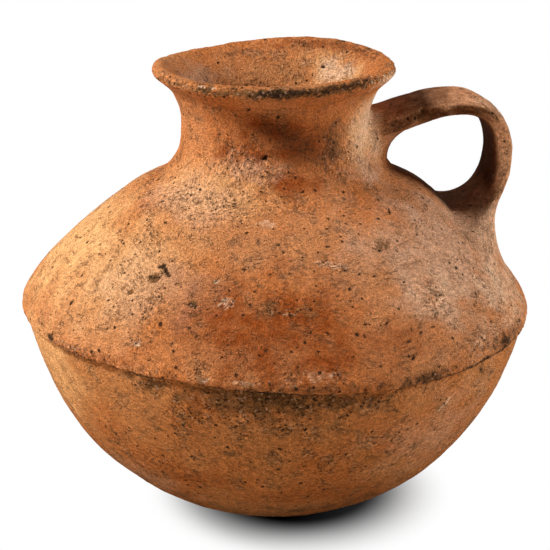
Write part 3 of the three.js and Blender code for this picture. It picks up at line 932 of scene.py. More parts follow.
@dataclass
class StrapHandle:
    """Strap handle from the neck to the shoulder, with the clay that lutes its two ends."""

    form: PotForm
    work: HandWork
    strap_width: float = 36.0
    foot_width: float = 60.0
    neck_thickness: float = 13.0
    shoulder_thickness: float = 6.5
    root_rise: float = 23.1
    crown_rise: float = 33.2
    crown_radius: float = 89.0
    reach_radius: float = 111.4
    reach_rise: float = 7.6
    landing_radius: float = 98.5
    tenon: float = 16.0
    root_slope: float = 12.0
    bend_fullness: float = 0.46
    landing_slope: float = 71.0
    spread_start: float = 0.55
    squareness: float = 3.0
    sides: int = 150
    spacing: float = 0.6
    fillet_rows: int = 12
    sunk_edge: float = 0.6
    sunk_depth: float = 1.0
    upper: Fillet = Fillet(outer=2.5, side=3.0, inner=27.0, length=31.0)
    lower: Fillet = Fillet(outer=23.0, side=21.0, inner=22.0, length=28.0)
    noise: ClayNoise = ClayNoise(47)
    lumps: tuple[Lumps, ...] = (Lumps(0.5, 21), Lumps(0.22, 8), Lumps(0.08, 2.6))
    pits: Lumps = Lumps(0.5, 3.1)
    pit_shift: float = 50.0
    calm_near_wall: float = 3.0
    stroke_thickness: float = 5.0
    stroke_run: float = 0.3
    neck_blend: tuple[float, float] = (4.0, 9.0)
    shoulder_blend: tuple[float, float] = (13.0, 25.0)
    search_share: float = 0.42
    search_steps: int = 26

    def __post_init__(self) -> None:
        """Draws the middle line of the strap and its section."""
        form = self.form
        landing_way = np.interp(-self.landing_radius, -form.shoulder.points[:, 0], form.shoulder.way)
        root = np.array([form.neck_waist_radius, form.neck_foot_height + self.root_rise])
        crown = np.array([self.crown_radius, form.neck_foot_height + self.crown_rise])
        reach = np.array([self.reach_radius, form.neck_foot_height + self.reach_rise])
        landing = form.shoulder.at(np.array([landing_way]))[0]
        landing_slope = self.landing_slope - 180
        self.path = Outline(np.vstack([
            np.linspace(root - self.tenon * heading(self.root_slope), root, 80),
            bow(root, self.root_slope, crown, 0)[1:],
            bow(crown, 0, reach, -90, self.bend_fullness, self.bend_fullness)[1:],
            bow(reach, -90, landing, landing_slope)[1:],
            np.linspace(landing, landing + self.tenon * heading(landing_slope), 80)[1:],
        ]))
        self._draw_section()

    def _draw_section(self) -> None:
        """Sets points at even distances round the section, as shares of half its width and thickness."""
        turn = np.linspace(0, 2 * math.pi, 6001)
        half = np.array([self.strap_width, self.neck_thickness]) / 2
        circle = np.column_stack([np.cos(turn), np.sin(turn)])
        ring = Outline(np.sign(circle) * np.abs(circle) ** (2 / self.squareness) * half)
        even = ring.at(np.linspace(0, ring.length, self.sides, endpoint=False)) / half
        self.across, self.out = even.T
        self.turn = np.arctan2(self.out, self.across)
        away = np.sign(even) * np.abs(even) ** (self.squareness - 1) / half
        self.away = away / np.linalg.norm(away, axis=1)[:, None]

    def spots(self, way: np.ndarray, side: np.ndarray, swell: np.ndarray) -> np.ndarray:
        """Points on the strap's surface, or swollen off it.

        Args:
            way: Ways along the strap's middle line.
            side: Indices round the section.
            swell: Distances off the surface.

        Returns:
            Points in millimetres as rows.
        """
        share = way / self.path.length
        spread = np.clip((share - self.spread_start) / (1 - self.spread_start), 0, 1) ** 2
        thickness = np.interp(share, [0, 1], [self.neck_thickness, self.shoulder_thickness])
        width = np.interp(spread, [0, 1], [self.strap_width, self.foot_width])
        out = self.out[side] * thickness / 2 + self.away[side, 1] * swell
        across = self.across[side] * width / 2 + self.away[side, 0] * swell
        flat = self.path.at(way) - self.path.normal(way) * out[:, None]
        return np.column_stack([flat[:, 0], across, flat[:, 1]])

    def _way_clear(
        self, side: np.ndarray, swell: np.ndarray, clear: np.ndarray, from_neck: bool,
    ) -> np.ndarray:
        """Ways along the strap at which its swollen surface is clear of the wall by given distances.

        Args:
            side: Indices round the section.
            swell: Distances off the strap's surface.
            clear: Wanted distances from the wall.
            from_neck: Whether the search starts at the neck or at the shoulder.

        Returns:
            One way for each entry.
        """
        total = self.path.length
        near, far = np.zeros(len(side)), np.full(len(side), self.search_share * total)
        for _ in range(self.search_steps):
            middle = (near + far) / 2
            way = middle if from_neck else total - middle
            outside = self.form.clearance(self.spots(way, side, swell)) > clear
            far = np.where(outside, middle, far)
            near = np.where(outside, near, middle)
        return far if from_neck else total - far

    def _seat(self, from_neck: bool) -> float:
        """Way at which the strap proper ends and the luting clay begins."""
        depth = self.tenon + (self.upper if from_neck else self.lower).length
        return depth if from_neck else self.path.length - depth

    def luting(self, from_neck: bool) -> Sheet:
        """Clay round one end of the strap, running out over the wall.

        Args:
            from_neck: Whether it is the end on the neck or the one on the shoulder.

        Returns:
            The worked mesh.
        """
        fillet = self.upper if from_neck else self.lower
        side, flush = np.arange(self.sides), np.zeros(self.sides)
        reach = fillet.reach(self.turn)
        seat = np.full(self.sides, self._seat(from_neck))
        start = self._way_clear(side, flush, reach, from_neck)
        shares = np.linspace(0, 1, int(fillet.length / self.spacing))
        ways = [seat + share * (start - seat) for share in shares]
        swells = [flush] * len(ways)
        for angle in np.linspace(0, math.pi / 2, self.fillet_rows + 1)[1:]:
            swells.append(reach * (1 - math.cos(angle)))
            ways.append(self._way_clear(side, swells[-1], reach * (1 - math.sin(angle)), from_neck))
        swells.append(reach + self.sunk_edge)
        ways.append(self._way_clear(side, swells[-1], flush - self.sunk_depth, from_neck))
        rows = [self.spots(way, side, swell) for way, swell in zip(ways, swells)]
        order = slice(None, None, -1) if from_neck else slice(None)
        return self._tube(np.stack(rows[order]), np.stack(ways[order]))

    def strap(self) -> Sheet:
        """The strap between its two lutings."""
        start, end = self._seat(True), self._seat(False)
        ways = np.linspace(start, end, int((end - start) / self.spacing) + 1)
        ways = np.repeat(ways[:, None], self.sides, axis=1)
        side, flush = np.arange(self.sides), np.zeros(self.sides)
        return self._tube(np.stack([self.spots(way, side, flush) for way in ways]), ways)

    def _tube(self, rows: np.ndarray, ways: np.ndarray) -> Sheet:
        """Closes rows of sections to a worked mesh.

        Args:
            rows: Points by row and side.
            ways: Their ways along the strap.

        Returns:
            The closed mesh with its tones.
        """
        count, sides = rows.shape[:2]
        spots, way = rows.reshape(-1, 3), ways.ravel()
        side = np.tile(np.arange(sides), count)
        normal = self._normals(rows).reshape(-1, 3)
        away = np.clip(self.form.clearance(spots) / self.calm_near_wall, 0, 1)
        push = sum(lumps.on(self.noise, spots) for lumps in self.lumps)
        pits = smoothstep(self.noise.at(spots + self.pit_shift, self.pits.size), 0.55, 0.95)
        worked = spots + normal * ((push - self.pits.height * pits) * away)[:, None]
        tones = self._tones(spots, way, side, pits * away)
        across, out = self.across[side] * self.strap_width / 2, self.out[side] * self.stroke_thickness
        lay = np.column_stack([across, out, way * self.stroke_run])
        ends = np.vstack([worked[:sides].mean(axis=0), worked[-sides:].mean(axis=0)])
        return Sheet.joined(worked, sides, tones, np.vstack([lay, np.zeros((2, 3))]), (0, count - 1), ends)

    @staticmethod
    def _normals(rows: np.ndarray) -> np.ndarray:
        """Outward directions of a tube's surface."""
        around = np.roll(rows, -1, axis=1) - np.roll(rows, 1, axis=1)
        normal = np.cross(around, np.gradient(rows, axis=0))
        return normal / np.maximum(np.linalg.norm(normal, axis=2), 1e-9)[:, :, None]

    def _tones(self, spots: np.ndarray, way: np.ndarray, side: np.ndarray, pits: np.ndarray) -> Tones:
        """Soot and painted shade near the neck and under the strap, where the rim, the neck and the strap
        itself shade it; wear along its crest; and the wall's tones near the wall.

        Args:
            spots: Points on the strap.
            way: Their ways along it.
            side: Their places round the section.
            pits: How deep each lies in a pit.

        Returns:
            The strength of each tone.
        """
        share = way / self.path.length
        up, across = np.sin(self.turn[side]), np.abs(self.across[side])
        patch = self.noise.at(spots, 14) + 0.5 * self.noise.at(spots, 5)
        top = smoothstep(up, 0.2, 0.65)
        under = smoothstep(-up, 0.3, 0.9) * smoothstep(across, 1.0, 0.86)
        flank = (1 - top) * (1 - under)
        late = smoothstep(share + 0.05 * patch, 0.34, 0.47)
        worn = np.maximum(top * late, 0.95 * flank * smoothstep(share, 0.5, 0.62))
        # Painted shade, with some soot: the top of the strap darkens near the neck, where the rim and neck
        # shade it.
        root_shade_and_soot = np.interp(share, [0.18, 0.34], [0.26, 0.6]) * top * (1 - late)
        # Painted shade, with some soot: the underside of the strap, which faces the neck, is nearly black.
        under_shade_and_soot = 0.95 * under * smoothstep(share, 0.1, 0.3)
        flank_soot = np.interp(share, [0.1, 0.3, 0.4, 0.5], [0.4, 0.9, 0.9, 0.5]) * flank * (1 - worn)
        flank_soot = flank_soot * smoothstep(patch + 1.2 * (0.36 - share), -0.95, 0.05)
        # This soot mixes real soot with the painted shade under the strap and at its root.
        soot = np.maximum.reduce([root_shade_and_soot, under_shade_and_soot, flank_soot]) * (1 - 0.7 * worn)
        worn_foot = worn * smoothstep(share, 0.5, 0.65)
        own = {
            SOOT: np.clip(np.maximum(soot, 0.8 * pits), 0, 1),
            PALE: 0.3 * worn * smoothstep(patch, -0.3, 0.6),
            CRUST: np.zeros(len(spots)),
            RED: np.zeros(len(spots)),
            BUFF: np.maximum(0.25 * flank * smoothstep(-patch, 0.0, 0.5), 0.4 * worn_foot),
            ASH: np.maximum(0.65 * worn, 0.45),
            ROUGH: 0.3 * top + 0.4 * flank,
        }
        wall_way, gap = self.form.beside(spots)
        bearing, radius = np.arctan2(spots[:, 1], spots[:, 0]), np.hypot(spots[:, 0], spots[:, 1])
        wall = self.work.wear(spots, bearing, wall_way, radius)[1]
        off_neck = smoothstep(gap, *self.neck_blend)
        off_shoulder = smoothstep(gap + 2 * patch, *self.shoulder_blend)
        clear = np.where(share < 0.5, off_neck, off_shoulder)
        return {tone: values * clear + wall[tone] * (1 - clear) for tone, values in own.items()}


class Signal:
    """A shader socket that takes part in Python arithmetic."""

    def __init__(self, bench: "ShaderBench", socket: bpy.types.NodeSocket) -> None:
        """Wraps one output socket of a bench's tree."""
        self.bench = bench
        self.socket = socket

    def _with(self, operation: str, first: "Signal | float", second: "Signal | float") -> "Signal":
        """Adds one Math node."""
        return self.bench.node("ShaderNodeMath", {"operation": operation}, {0: first, 1: second})

    def __add__(self, other: "Signal | float") -> "Signal":
        """Sum."""
        return self._with("ADD", self, other)

    def __radd__(self, other: float) -> "Signal":
        """Sum with a number first."""
        return self._with("ADD", other, self)

    def __sub__(self, other: "Signal | float") -> "Signal":
        """Difference."""
        return self._with("SUBTRACT", self, other)

    def __rsub__(self, other: float) -> "Signal":
        """Difference from a number."""
        return self._with("SUBTRACT", other, self)

    def __mul__(self, other: "Signal | float") -> "Signal":
        """Product."""
        return self._with("MULTIPLY", self, other)

    def __rmul__(self, other: float) -> "Signal":
        """Product with a number first."""
        return self._with("MULTIPLY", other, self)

    def __abs__(self) -> "Signal":
        """Size without the sign."""
        return self._with("ABSOLUTE", self, 0.0)

    def larger(self, other: "Signal | float") -> "Signal":
        """The larger of two values."""
        return self._with("MAXIMUM", self, other)

    def twin(self, output: int | str) -> "Signal":
        """Another output of the same node."""
        return Signal(self.bench, self.socket.node.outputs[output])

    def eased(self, low: float, high: float, bottom: float = 0.0, top: float = 1.0) -> "Signal":
        """Eases from bottom to top while the value goes from low to high."""
        settings = {"interpolation_type": "SMOOTHSTEP"}
        return self.bench.node("ShaderNodeMapRange", settings, {0: self, 1: low, 2: high, 3: bottom, 4: top})


class ShaderBench:
    """The node tree of one material, world or floor, and the one method that adds nodes to it."""

    def __init__(self, tree: bpy.types.NodeTree) -> None:
        """Clears the tree."""
        self.tree = tree
        tree.nodes.clear()

    def node(
        self, kind: str, settings: dict[str, object] | None = None,
        sockets: dict[int | str, "Signal | float | Sequence[float]"] | None = None, output: int | str = 0,
    ) -> Signal:
        """Adds one node.

        Args:
            kind: Blender's type of the node.
            settings: Its settings, which are set first.
            sockets: Values or links of its inputs.
            output: Which output is handed back.

        Returns:
            That output.
        """
        made = self.tree.nodes.new(kind)
        for name, value in (settings or {}).items():
            setattr(made, name, value)
        for key, value in (sockets or {}).items():
            if isinstance(value, Signal):
                self.tree.links.new(value.socket, made.inputs[key])
            elif isinstance(value, Sequence) and len(value) == 3 and made.inputs[key].type == "RGBA":
                made.inputs[key].default_value = (*value, 1.0)
            else:
                made.inputs[key].default_value = value
        return Signal(self, made.outputs[output]) if made.outputs else Signal(self, made.inputs[0])

    def attribute(self, name: str, output: str = "Fac") -> Signal:
        """An attribute of the mesh."""
        return self.node("ShaderNodeAttribute", {"attribute_name": name}, output=output)

    def lumps(self, place: Signal, scale: float, detail: float = 2.0, harsh: float = 0.5) -> Signal:
        """Noise of a given scale."""
        sockets = {"Vector": place, "Scale": scale, "Detail": detail, "Roughness": harsh}
        return self.node("ShaderNodeTexNoise", {}, sockets, "Fac")

    def warped(self, place: Signal, scale: float, reach: float) -> Signal:
        """A place shifted by noise, so that round shapes turn ragged."""
        shift = self.lumps(place, scale).twin("Color")
        sockets = {0: shift, 1: (reach, reach, reach), 2: place}
        return self.node("ShaderNodeVectorMath", {"operation": "MULTIPLY_ADD"}, sockets, "Vector")

    def holes(self, place: Signal, scale: float, few: float, widest: float) -> Signal:
        """Scattered spots of uneven size.

        Args:
            place: Where the spots lie.
            scale: Spots to a unit of length.
            few: The higher, the more of them shrink to nothing.
            widest: Radius of the widest, as a share of their spacing.

        Returns:
            1 in the spots and 0 between them.
        """
        far = self.node("ShaderNodeTexVoronoi", {}, {"Vector": place, "Scale": scale}, "Distance")
        size = far.twin("Color").eased(few, 1.0, 0.0, widest)
        return (size - far).eased(-0.03, 0.05)

    def mixed(
        self, share: Signal | float, under: Signal | Colour, over: Signal | Colour, blend: str = "MIX",
    ) -> Signal:
        """Lays one colour over another."""
        settings = {"data_type": "RGBA", "blend_type": blend}
        return self.node("ShaderNodeMix", settings, {0: share, 6: under, 7: over}, 2)


@dataclass
class ClayGrain:
    """Patterns of fired clay on one bench, with their lumps to the metre, or to the millimetre of the lay."""

    bench: ShaderBench
    ragged_scale: float = 1100.0
    ragged_reach: float = 0.0016
    cloud_scale: float = 24.0
    mottle_scale: float = 120.0
    grit_scale: float = 1500.0
    crumb_scale: float = 520.0
    stroke_scale: float = 0.8
    crack_scale: float = 0.3
    crack_width: float = 0.045
    pore_scale: float = 360.0
    speck_scale: float = 720.0
    grain_scale: float = 640.0

    def __post_init__(self) -> None:
        """Lays out the patterns."""
        bench = self.bench
        place = bench.node("ShaderNodeTexCoord", output="Object")
        ragged = bench.warped(place, self.ragged_scale, self.ragged_reach)
        lay = bench.attribute("lay", "Vector")
        self.cloud = bench.lumps(place, self.cloud_scale, 3)
        self.mottle = bench.lumps(ragged, self.mottle_scale, 4, 0.65)
        self.grit = bench.lumps(place, self.grit_scale, 2, 0.6)
        self.crumbs = bench.lumps(ragged, self.crumb_scale, 3, 0.7)
        self.stroke = bench.lumps(lay, self.stroke_scale, 4, 0.7)
        veins = abs(bench.lumps(lay, self.crack_scale, 3, 0.6) - 0.5)
        crack_line = veins.eased(0.0, self.crack_width, 1.0, 0.0)
        self.cracks = crack_line * self.mottle.eased(0.48, 0.64)
        coarse = bench.attribute(ROUGH.value) + self.cloud.eased(0.5, 0.72) * 0.35
        self.coarse = coarse * self.mottle.eased(0.34, 0.58, 0.35, 1.0)
        self.pores = bench.holes(ragged, self.pore_scale, 0.62, 0.36)
        specks = bench.holes(ragged, self.speck_scale, 0.3, 0.52)
        self.specks = specks * self.coarse.eased(0.05, 0.7, 0.16, 1.0)
        self.grains = bench.holes(ragged, self.grain_scale, 0.2, 0.54) * self.coarse.eased(0.2, 0.9)

    def shade(self) -> Signal:
        """Light and dark that strokes, grit and crumbs give the clay."""
        shade = self.stroke.eased(0.36, 0.64, 0.83, 1.17) * (1 + self.grit.eased(0.36, 0.64, -0.24, 0.24))
        return shade * (1 + self.crumbs.eased(0.36, 0.64, -1.0, 1.0) * (0.1 + 0.42 * self.coarse))

    def height(self) -> Signal:
        """Fine relief of the surface."""
        raised = 0.45 * self.grit + 0.45 * self.stroke + self.crumbs * (0.3 + 0.6 * self.coarse)
        return raised + 0.3 * self.grains - 0.8 * self.pores - 0.7 * self.specks - 0.5 * self.cracks


@dataclass(frozen=True)
class ClayFinish:
    """Unglazed fired clay of one slot of the record: its colours and how coarse it is."""

    slot: str
    body: Colour = (0.555, 0.216, 0.079)
    warm: Colour = (0.52, 0.168, 0.047)
    dull: Colour = (0.43, 0.20, 0.094)
    soot: Colour = (0.045, 0.022, 0.011)
    pale: Colour = (0.74, 0.46, 0.285)
    crust: Colour = (0.19, 0.086, 0.031)
    red: Colour = (0.29, 0.064, 0.011)
    buff: Colour = (0.78, 0.41, 0.165)
    ash: Colour = (0.585, 0.325, 0.195)
    pore: Colour = (0.025, 0.013, 0.007)
    roughness: float = 0.92
    smoother: float = 0.1
    specular: float = 0.05
    relief_depth: float = 0.002
    dust_share: float = 0.65
    crack_share: float = 0.36
    grain_share: float = 0.72
    pore_share: float = 0.9
    speck_share: float = 0.82

    def material(self) -> bpy.types.Material:
        """Builds the material.

        Returns:
            Clay with clouds of fire, wiping strokes, pores, grit and the tones of the mesh.
        """
        made = bpy.data.materials.new(self.slot)
        made.use_nodes = True
        bench = ShaderBench(made.node_tree)
        grain = ClayGrain(bench)
        relief = {"Strength": 1.0, "Distance": self.relief_depth, "Height": grain.height()}
        surface = bench.node("ShaderNodeBsdfPrincipled", {}, {
            "Base Color": self._colour(bench, grain),
            "Roughness": grain.mottle.eased(0.3, 0.7, self.roughness - self.smoother, self.roughness),
            "Specular IOR Level": self.specular,
            "Normal": bench.node("ShaderNodeBump", {}, relief, "Normal"),
        })
        bench.node("ShaderNodeOutputMaterial", {}, {"Surface": surface})
        return made

    def _colour(self, bench: ShaderBench, grain: ClayGrain) -> Signal:
        """Colour of the clay with its tones, shade and specks."""
        colour = bench.mixed(grain.cloud.eased(0.4, 0.64), self.body, self.warm)
        dusty = grain.mottle.eased(0.48, 0.7) * (1 - bench.attribute(BUFF.value))
        colour = bench.mixed(dusty * self.dust_share, colour, self.dull)
        colour = self._toned(bench, colour, grain)
        colour = bench.mixed(1.0, colour, grain.shade(), "MULTIPLY")
        specks = (
            (grain.cracks * self.crack_share, self.crust), (grain.grains * self.grain_share, self.ash),
            (grain.pores * self.pore_share, self.pore), (grain.specks * self.speck_share, self.pore),
        )
        for share, over in specks:
            colour = bench.mixed(share, colour, over)
        return colour

    def _toned(self, bench: ShaderBench, colour: Signal, grain: ClayGrain) -> Signal:
        """Lays the mesh's tones over the clay, soft ones first.

        Args:
            bench: The material's bench.
            colour: The clay so far.
            grain: Patterns that break up the tones and fray their edges.

        Returns:
            The toned colour.
        """
        for tone, over in ((BUFF, self.buff), (RED, self.red), (ASH, self.ash)):
            share = bench.attribute(tone.value) * grain.mottle.eased(0.25, 0.7, 1.15, 0.7)
            colour = bench.mixed(share, colour, over)
        fray = (grain.crumbs - 0.5) * 0.9 + (grain.mottle - 0.5) * 0.7
        for tone, over in ((PALE, self.pale), (CRUST, self.crust), (SOOT, self.soot)):
            amount = bench.attribute(tone.value)
            share = (amount + amount.eased(0.0, 0.3) * fray).eased(0.08, 1.0)
            colour = bench.mixed(share, colour, over)
        return colour


FINISHES: tuple[ClayFinish, ...] = (
    ClayFinish(
        "belly_clay", body=(0.485, 0.19, 0.062), warm=(0.455, 0.151, 0.041), dull=(0.345, 0.176, 0.08),
    ),
    ClayFinish("shoulder_clay"),
    ClayFinish("inner_clay"),
    ClayFinish("neck_clay"),
    ClayFinish("rim_clay"),
    # The handle's soot colour also paints the shade under the strap and at its root.
    ClayFinish("handle_clay", soot=(0.112, 0.034, 0.009)),
)


@dataclass(frozen=True)
class Lamp:
    """One soft box, aimed at the pot: degrees from the handle, degrees above the floor, metres and watts."""

    name: str
    bearing: float
    elevation: float
    distance: float
    size: float
    power: float

    def hang(self, aim: Vector) -> None:
        """Makes the lamp, facing a point."""
        turn, rise = math.radians(self.bearing), math.radians(self.elevation)
        away = Vector((math.cos(turn) * math.cos(rise), math.sin(turn) * math.cos(rise), math.sin(rise)))
        light = bpy.data.lights.new(self.name, "AREA")
        light.shape = "DISK"
        light.size = self.size
        light.energy = self.power
        lamp = bpy.data.objects.new(self.name, light)
        lamp.location = aim + away * self.distance
        lamp.rotation_euler = (-away).to_track_quat("-Z", "Y").to_euler()
        bpy.context.scene.collection.objects.link(lamp)


@dataclass(frozen=True)
class Studio:
    """Pale floor, soft light and the camera, in metres and degrees."""

    camera_distance: float = 0.720
    camera_height: float = 0.3642
    camera_turn: float = -7.0
    camera_pitch: float = 18.92
    focal_pixels: float = 1511.6
    image_pixels: float = 550.0
    sensor: float = 36.0
    aim_height: float = 0.12
    floor_size: float = 6.0
    floor_drop: float = 0.0002
    floor_colour: Colour = (0.9, 0.9, 0.9)
    floor_bounce: Colour = (0.84, 0.71, 0.56)
    bounce_shade: tuple[float, float] = (0.06, 0.19)
    # Colour of the painted shadow on the floor round the pot's foot.
    painted_shadow_colour: Colour = (0.032, 0.034, 0.036)
    shadow_middle: tuple[float, float, float] = (0.011, -0.002, 0.0)
    shadow_reach: float = 0.083
    shadow_core: float = 0.45
    white: Colour = (1.0, 1.0, 1.0)
    room_light: float = 0.04
    lamps: tuple[Lamp, ...] = (
        Lamp("key_box", -170, 43, 1.3, 0.45, 25.0),
        Lamp("fill_box", -7, 20, 1.4, 0.5, 16.0),
    )

    def build(self) -> None:
        """Sets up floor, world, lamps and camera."""
        self._floor()
        self._world()
        for lamp in self.lamps:
            lamp.hang(Vector((0, 0, self.aim_height)))
        self._camera()
        bpy.context.scene.view_settings.view_transform = "Standard"

    @staticmethod
    def _looked_at(bench: ShaderBench) -> Signal:
        """1 for rays that show the background itself, not its light on the pot."""
        seen = bench.node("ShaderNodeLightPath", output="Is Camera Ray")
        return seen.larger(seen.twin("Is Glossy Ray")).larger(seen.twin("Is Transmission Ray"))

    def _floor(self) -> None:
        """White floor with a painted shadow: its colour darkens in a spot round the pot's foot, on top of the
        lamps' own shadow, and runs out into plain white.
        """
        half = self.floor_size / 2
        mesh = bpy.data.meshes.new("floor")
        corners = [(-half, -half), (half, -half), (half, half), (-half, half)]
        mesh.from_pydata([(x, y, -self.floor_drop) for x, y in corners], [], [(0, 1, 2, 3)])
        floor = bpy.data.objects.new("floor", mesh)
        bpy.context.scene.collection.objects.link(floor)
        made = bpy.data.materials.new("floor_white")
        made.use_nodes = True
        bench = ShaderBench(made.node_tree)
        place = bench.node("ShaderNodeTexCoord", output="Object")
        measure = {"operation": "DISTANCE"}
        far = bench.node("ShaderNodeVectorMath", measure, {0: place, 1: self.shadow_middle}, "Value")
        fade = far.eased(self.shadow_core * self.shadow_reach, self.shadow_reach)
        # Painted shadow: the floor's colour seen by the camera darkens to near black round the pot's foot.
        tone = bench.mixed(fade, self.painted_shadow_colour, self.floor_colour)
        matt = bench.node("ShaderNodeBsdfDiffuse", {}, {"Color": tone})
        # Painted shade in the bounce: the floor that lights the pot from below is darker near the foot.
        under = bench.mixed(far.eased(*self.bounce_shade), self.painted_shadow_colour, self.floor_bounce)
        dim = bench.node("ShaderNodeBsdfDiffuse", {}, {"Color": under})
        white = bench.node("ShaderNodeEmission", {}, {"Color": self.white, "Strength": 1.0})
        shown = bench.node("ShaderNodeMixShader", {}, {0: fade, 1: matt, 2: white})
        surface = bench.node("ShaderNodeMixShader", {}, {0: self._looked_at(bench), 1: dim, 2: shown})
        bench.node("ShaderNodeOutputMaterial", {}, {"Surface": surface})
        mesh.materials.append(made)

    def _world(self) -> None:
        """White surroundings that light the pot gently."""
        world = bpy.data.worlds.new("studio")
        world.use_nodes = True
        bpy.context.scene.world = world
        bench = ShaderBench(world.node_tree)
        strength = self._looked_at(bench) * (1 - self.room_light) + self.room_light
        surface = bench.node("ShaderNodeBackground", {}, {"Color": self.white, "Strength": strength})
        bench.node("ShaderNodeOutputWorld", {}, {"Surface": surface})

    def _camera(self) -> None:
        """Camera at the photograph's viewing angle."""
        data = bpy.data.cameras.new("camera")
        data.sensor_width = self.sensor
        data.lens = self.focal_pixels / self.image_pixels * self.sensor
        camera = bpy.data.objects.new("camera", data)
        turn, away = math.radians(self.camera_turn), self.camera_distance
        camera.location = (math.sin(turn) * away, -math.cos(turn) * away, self.camera_height)
        camera.rotation_euler = (math.radians(90 - self.camera_pitch), 0, turn)
        bpy.context.scene.collection.objects.link(camera)
        bpy.context.scene.camera = camera


SHOULDER_MARKS: tuple[Mark, ...] = (
    Mark(-176, 142, 84, 56, BUFF, 1.0, ragged=0.2, soft=0.9),
    Mark(-134, 138, 46, 36, ASH, 0.4, soft=0.95),
    Mark(-138, 138, 50, 44, PALE, 0.2, ragged=0.1, soft=1.0),
    Mark(-142, 142, 54, 50, BUFF, 0.9, ragged=0.1, soft=1.0),
    Mark(-140, 171, 54, 24, PALE, 0.3, ragged=0.1, soft=1.0),
    Mark(-138, 171, 60, 28, BUFF, 0.75, ragged=0.1, soft=1.0),
    Mark(-6, 140, 76, 50, ASH, 1.0, soft=0.95),
    Mark(-8, 142, 66, 50, PALE, 0.5, ragged=0.1, soft=1.0),
    Mark(-28, 124, 48, 32, PALE, 0.75, ragged=0.2, soft=1.0),
    Mark(-50, 134, 40, 28, PALE, 0.5, ragged=0.2, soft=1.0),
    Mark(-70, 123, 32, 18, RED, 0.6, soft=0.95),
    Mark(-98, 128, 66, 46, RED, 1.0, soft=0.9),
    Mark(-40, 144, 70, 54, ASH, 0.95, soft=0.9),
    Mark(-142, 168, 44, 22, ASH, 0.5, soft=0.95),
    Mark(-131, 143, 3.9, 3.7, CRUST, 1.0, 0.9, ragged=0.3, soft=0.35),
    Mark(-131, 143.4, 1.7, 1.4, SOOT, 1.0, 1.3, ragged=0.3),
    Mark(-131, 143, 4.6, 4.4, ROUGH, 1.0, soft=0.4),
    Mark(-128.3, 146, 6.2, 1.4, SOOT, 1.0, 1.1, tilt=-40, ragged=0.2, soft=0.4),
    Mark(-130.6, 147.6, 2.8, 1.4, SOOT, 1.0, 0.8, tilt=48, ragged=0.3, soft=0.4),
    Mark(-135, 136, 2.3, 2.0, CRUST, 1.0, 0.7, ragged=0.3, soft=0.4),
    Mark(-138, 137, 1.8, 1.3, CRUST, 0.9, 0.5),
    Mark(-129, 135, 2.0, 1.6, CRUST, 0.9, 0.5),
    Mark(-130, 133, 12, 10, ROUGH, 0.7, soft=0.8),
    Mark(-127, 118, 2.4, 1.9, PALE, 0.8, 0.5, ragged=0.4),
    Mark(-127, 118, 4.4, 3.6, ROUGH, 1.0, soft=0.5),
    Mark(-117, 136, 3.0, 2.8, CRUST, 0.95, 0.8, ragged=0.4, soft=0.35),
    Mark(-116, 132, 2.6, 1.6, CRUST, 0.7, 0.3, ragged=0.6),
    Mark(-116.5, 134, 5.0, 5.0, ROUGH, 1.0, soft=0.5),
    Mark(-109, 138, 4.6, 3.2, PALE, 0.6, 0.4, tilt=25, ragged=0.6),
    Mark(-109, 138, 6.0, 4.6, ROUGH, 1.0, soft=0.5),
    Mark(-113, 145, 1.5, 1.3, PALE, 0.9, 0.4, ragged=0.4),
    Mark(-100, 164, 4.4, 4.0, PALE, 0.5, 0.1, ragged=0.5),
    Mark(-98, 136, 8.0, 6.5, CRUST, 0.5, 0.3, ragged=0.6, soft=0.8),
    Mark(-89, 137, 9.0, 7.0, CRUST, 0.55, 0.4, ragged=0.6, soft=0.8),
    Mark(-94, 136, 19, 12, ROUGH, 0.9, soft=0.8),
    Mark(-80, 151, 9.0, 2.4, PALE, 0.5, 0.3, tilt=-12, ragged=0.7),
    Mark(-80, 151, 11, 3.6, ROUGH, 1.0, tilt=-12, soft=0.5),
    Mark(-61, 154.5, 5.2, 2.6, CRUST, 0.7, 0.4, ragged=0.5),
    Mark(-61, 154.5, 7.0, 3.4, ROUGH, 1.0, soft=0.4),
    Mark(-48, 163, 0.9, 2.8, SOOT, 1.0, 0.6, tilt=-38, ragged=0.3),
    Mark(-55, 132, 11, 9, ROUGH, 1.0, soft=0.7),
    Mark(-55, 133, 7, 6, PALE, 0.35, 0.1, ragged=0.6),
    Mark(-48, 115, 12, 9, ROUGH, 0.9, soft=0.8),
    Mark(-48, 114, 10, 7, PALE, 0.45, 0.1, ragged=0.6, soft=0.8),
    Mark(-122, 167, 44, 18, ROUGH, 0.7, soft=0.8),
    Mark(-95, 170, 22, 10, ROUGH, 0.6, soft=0.9),
    Mark(-128, 126, 24, 12, ROUGH, 0.4, soft=0.9),
    Mark(-92, 116, 30, 8, ROUGH, 0.6, soft=0.9),
    Mark(-88, 113, 9, 3, PALE, 0.45, ragged=0.7),
)

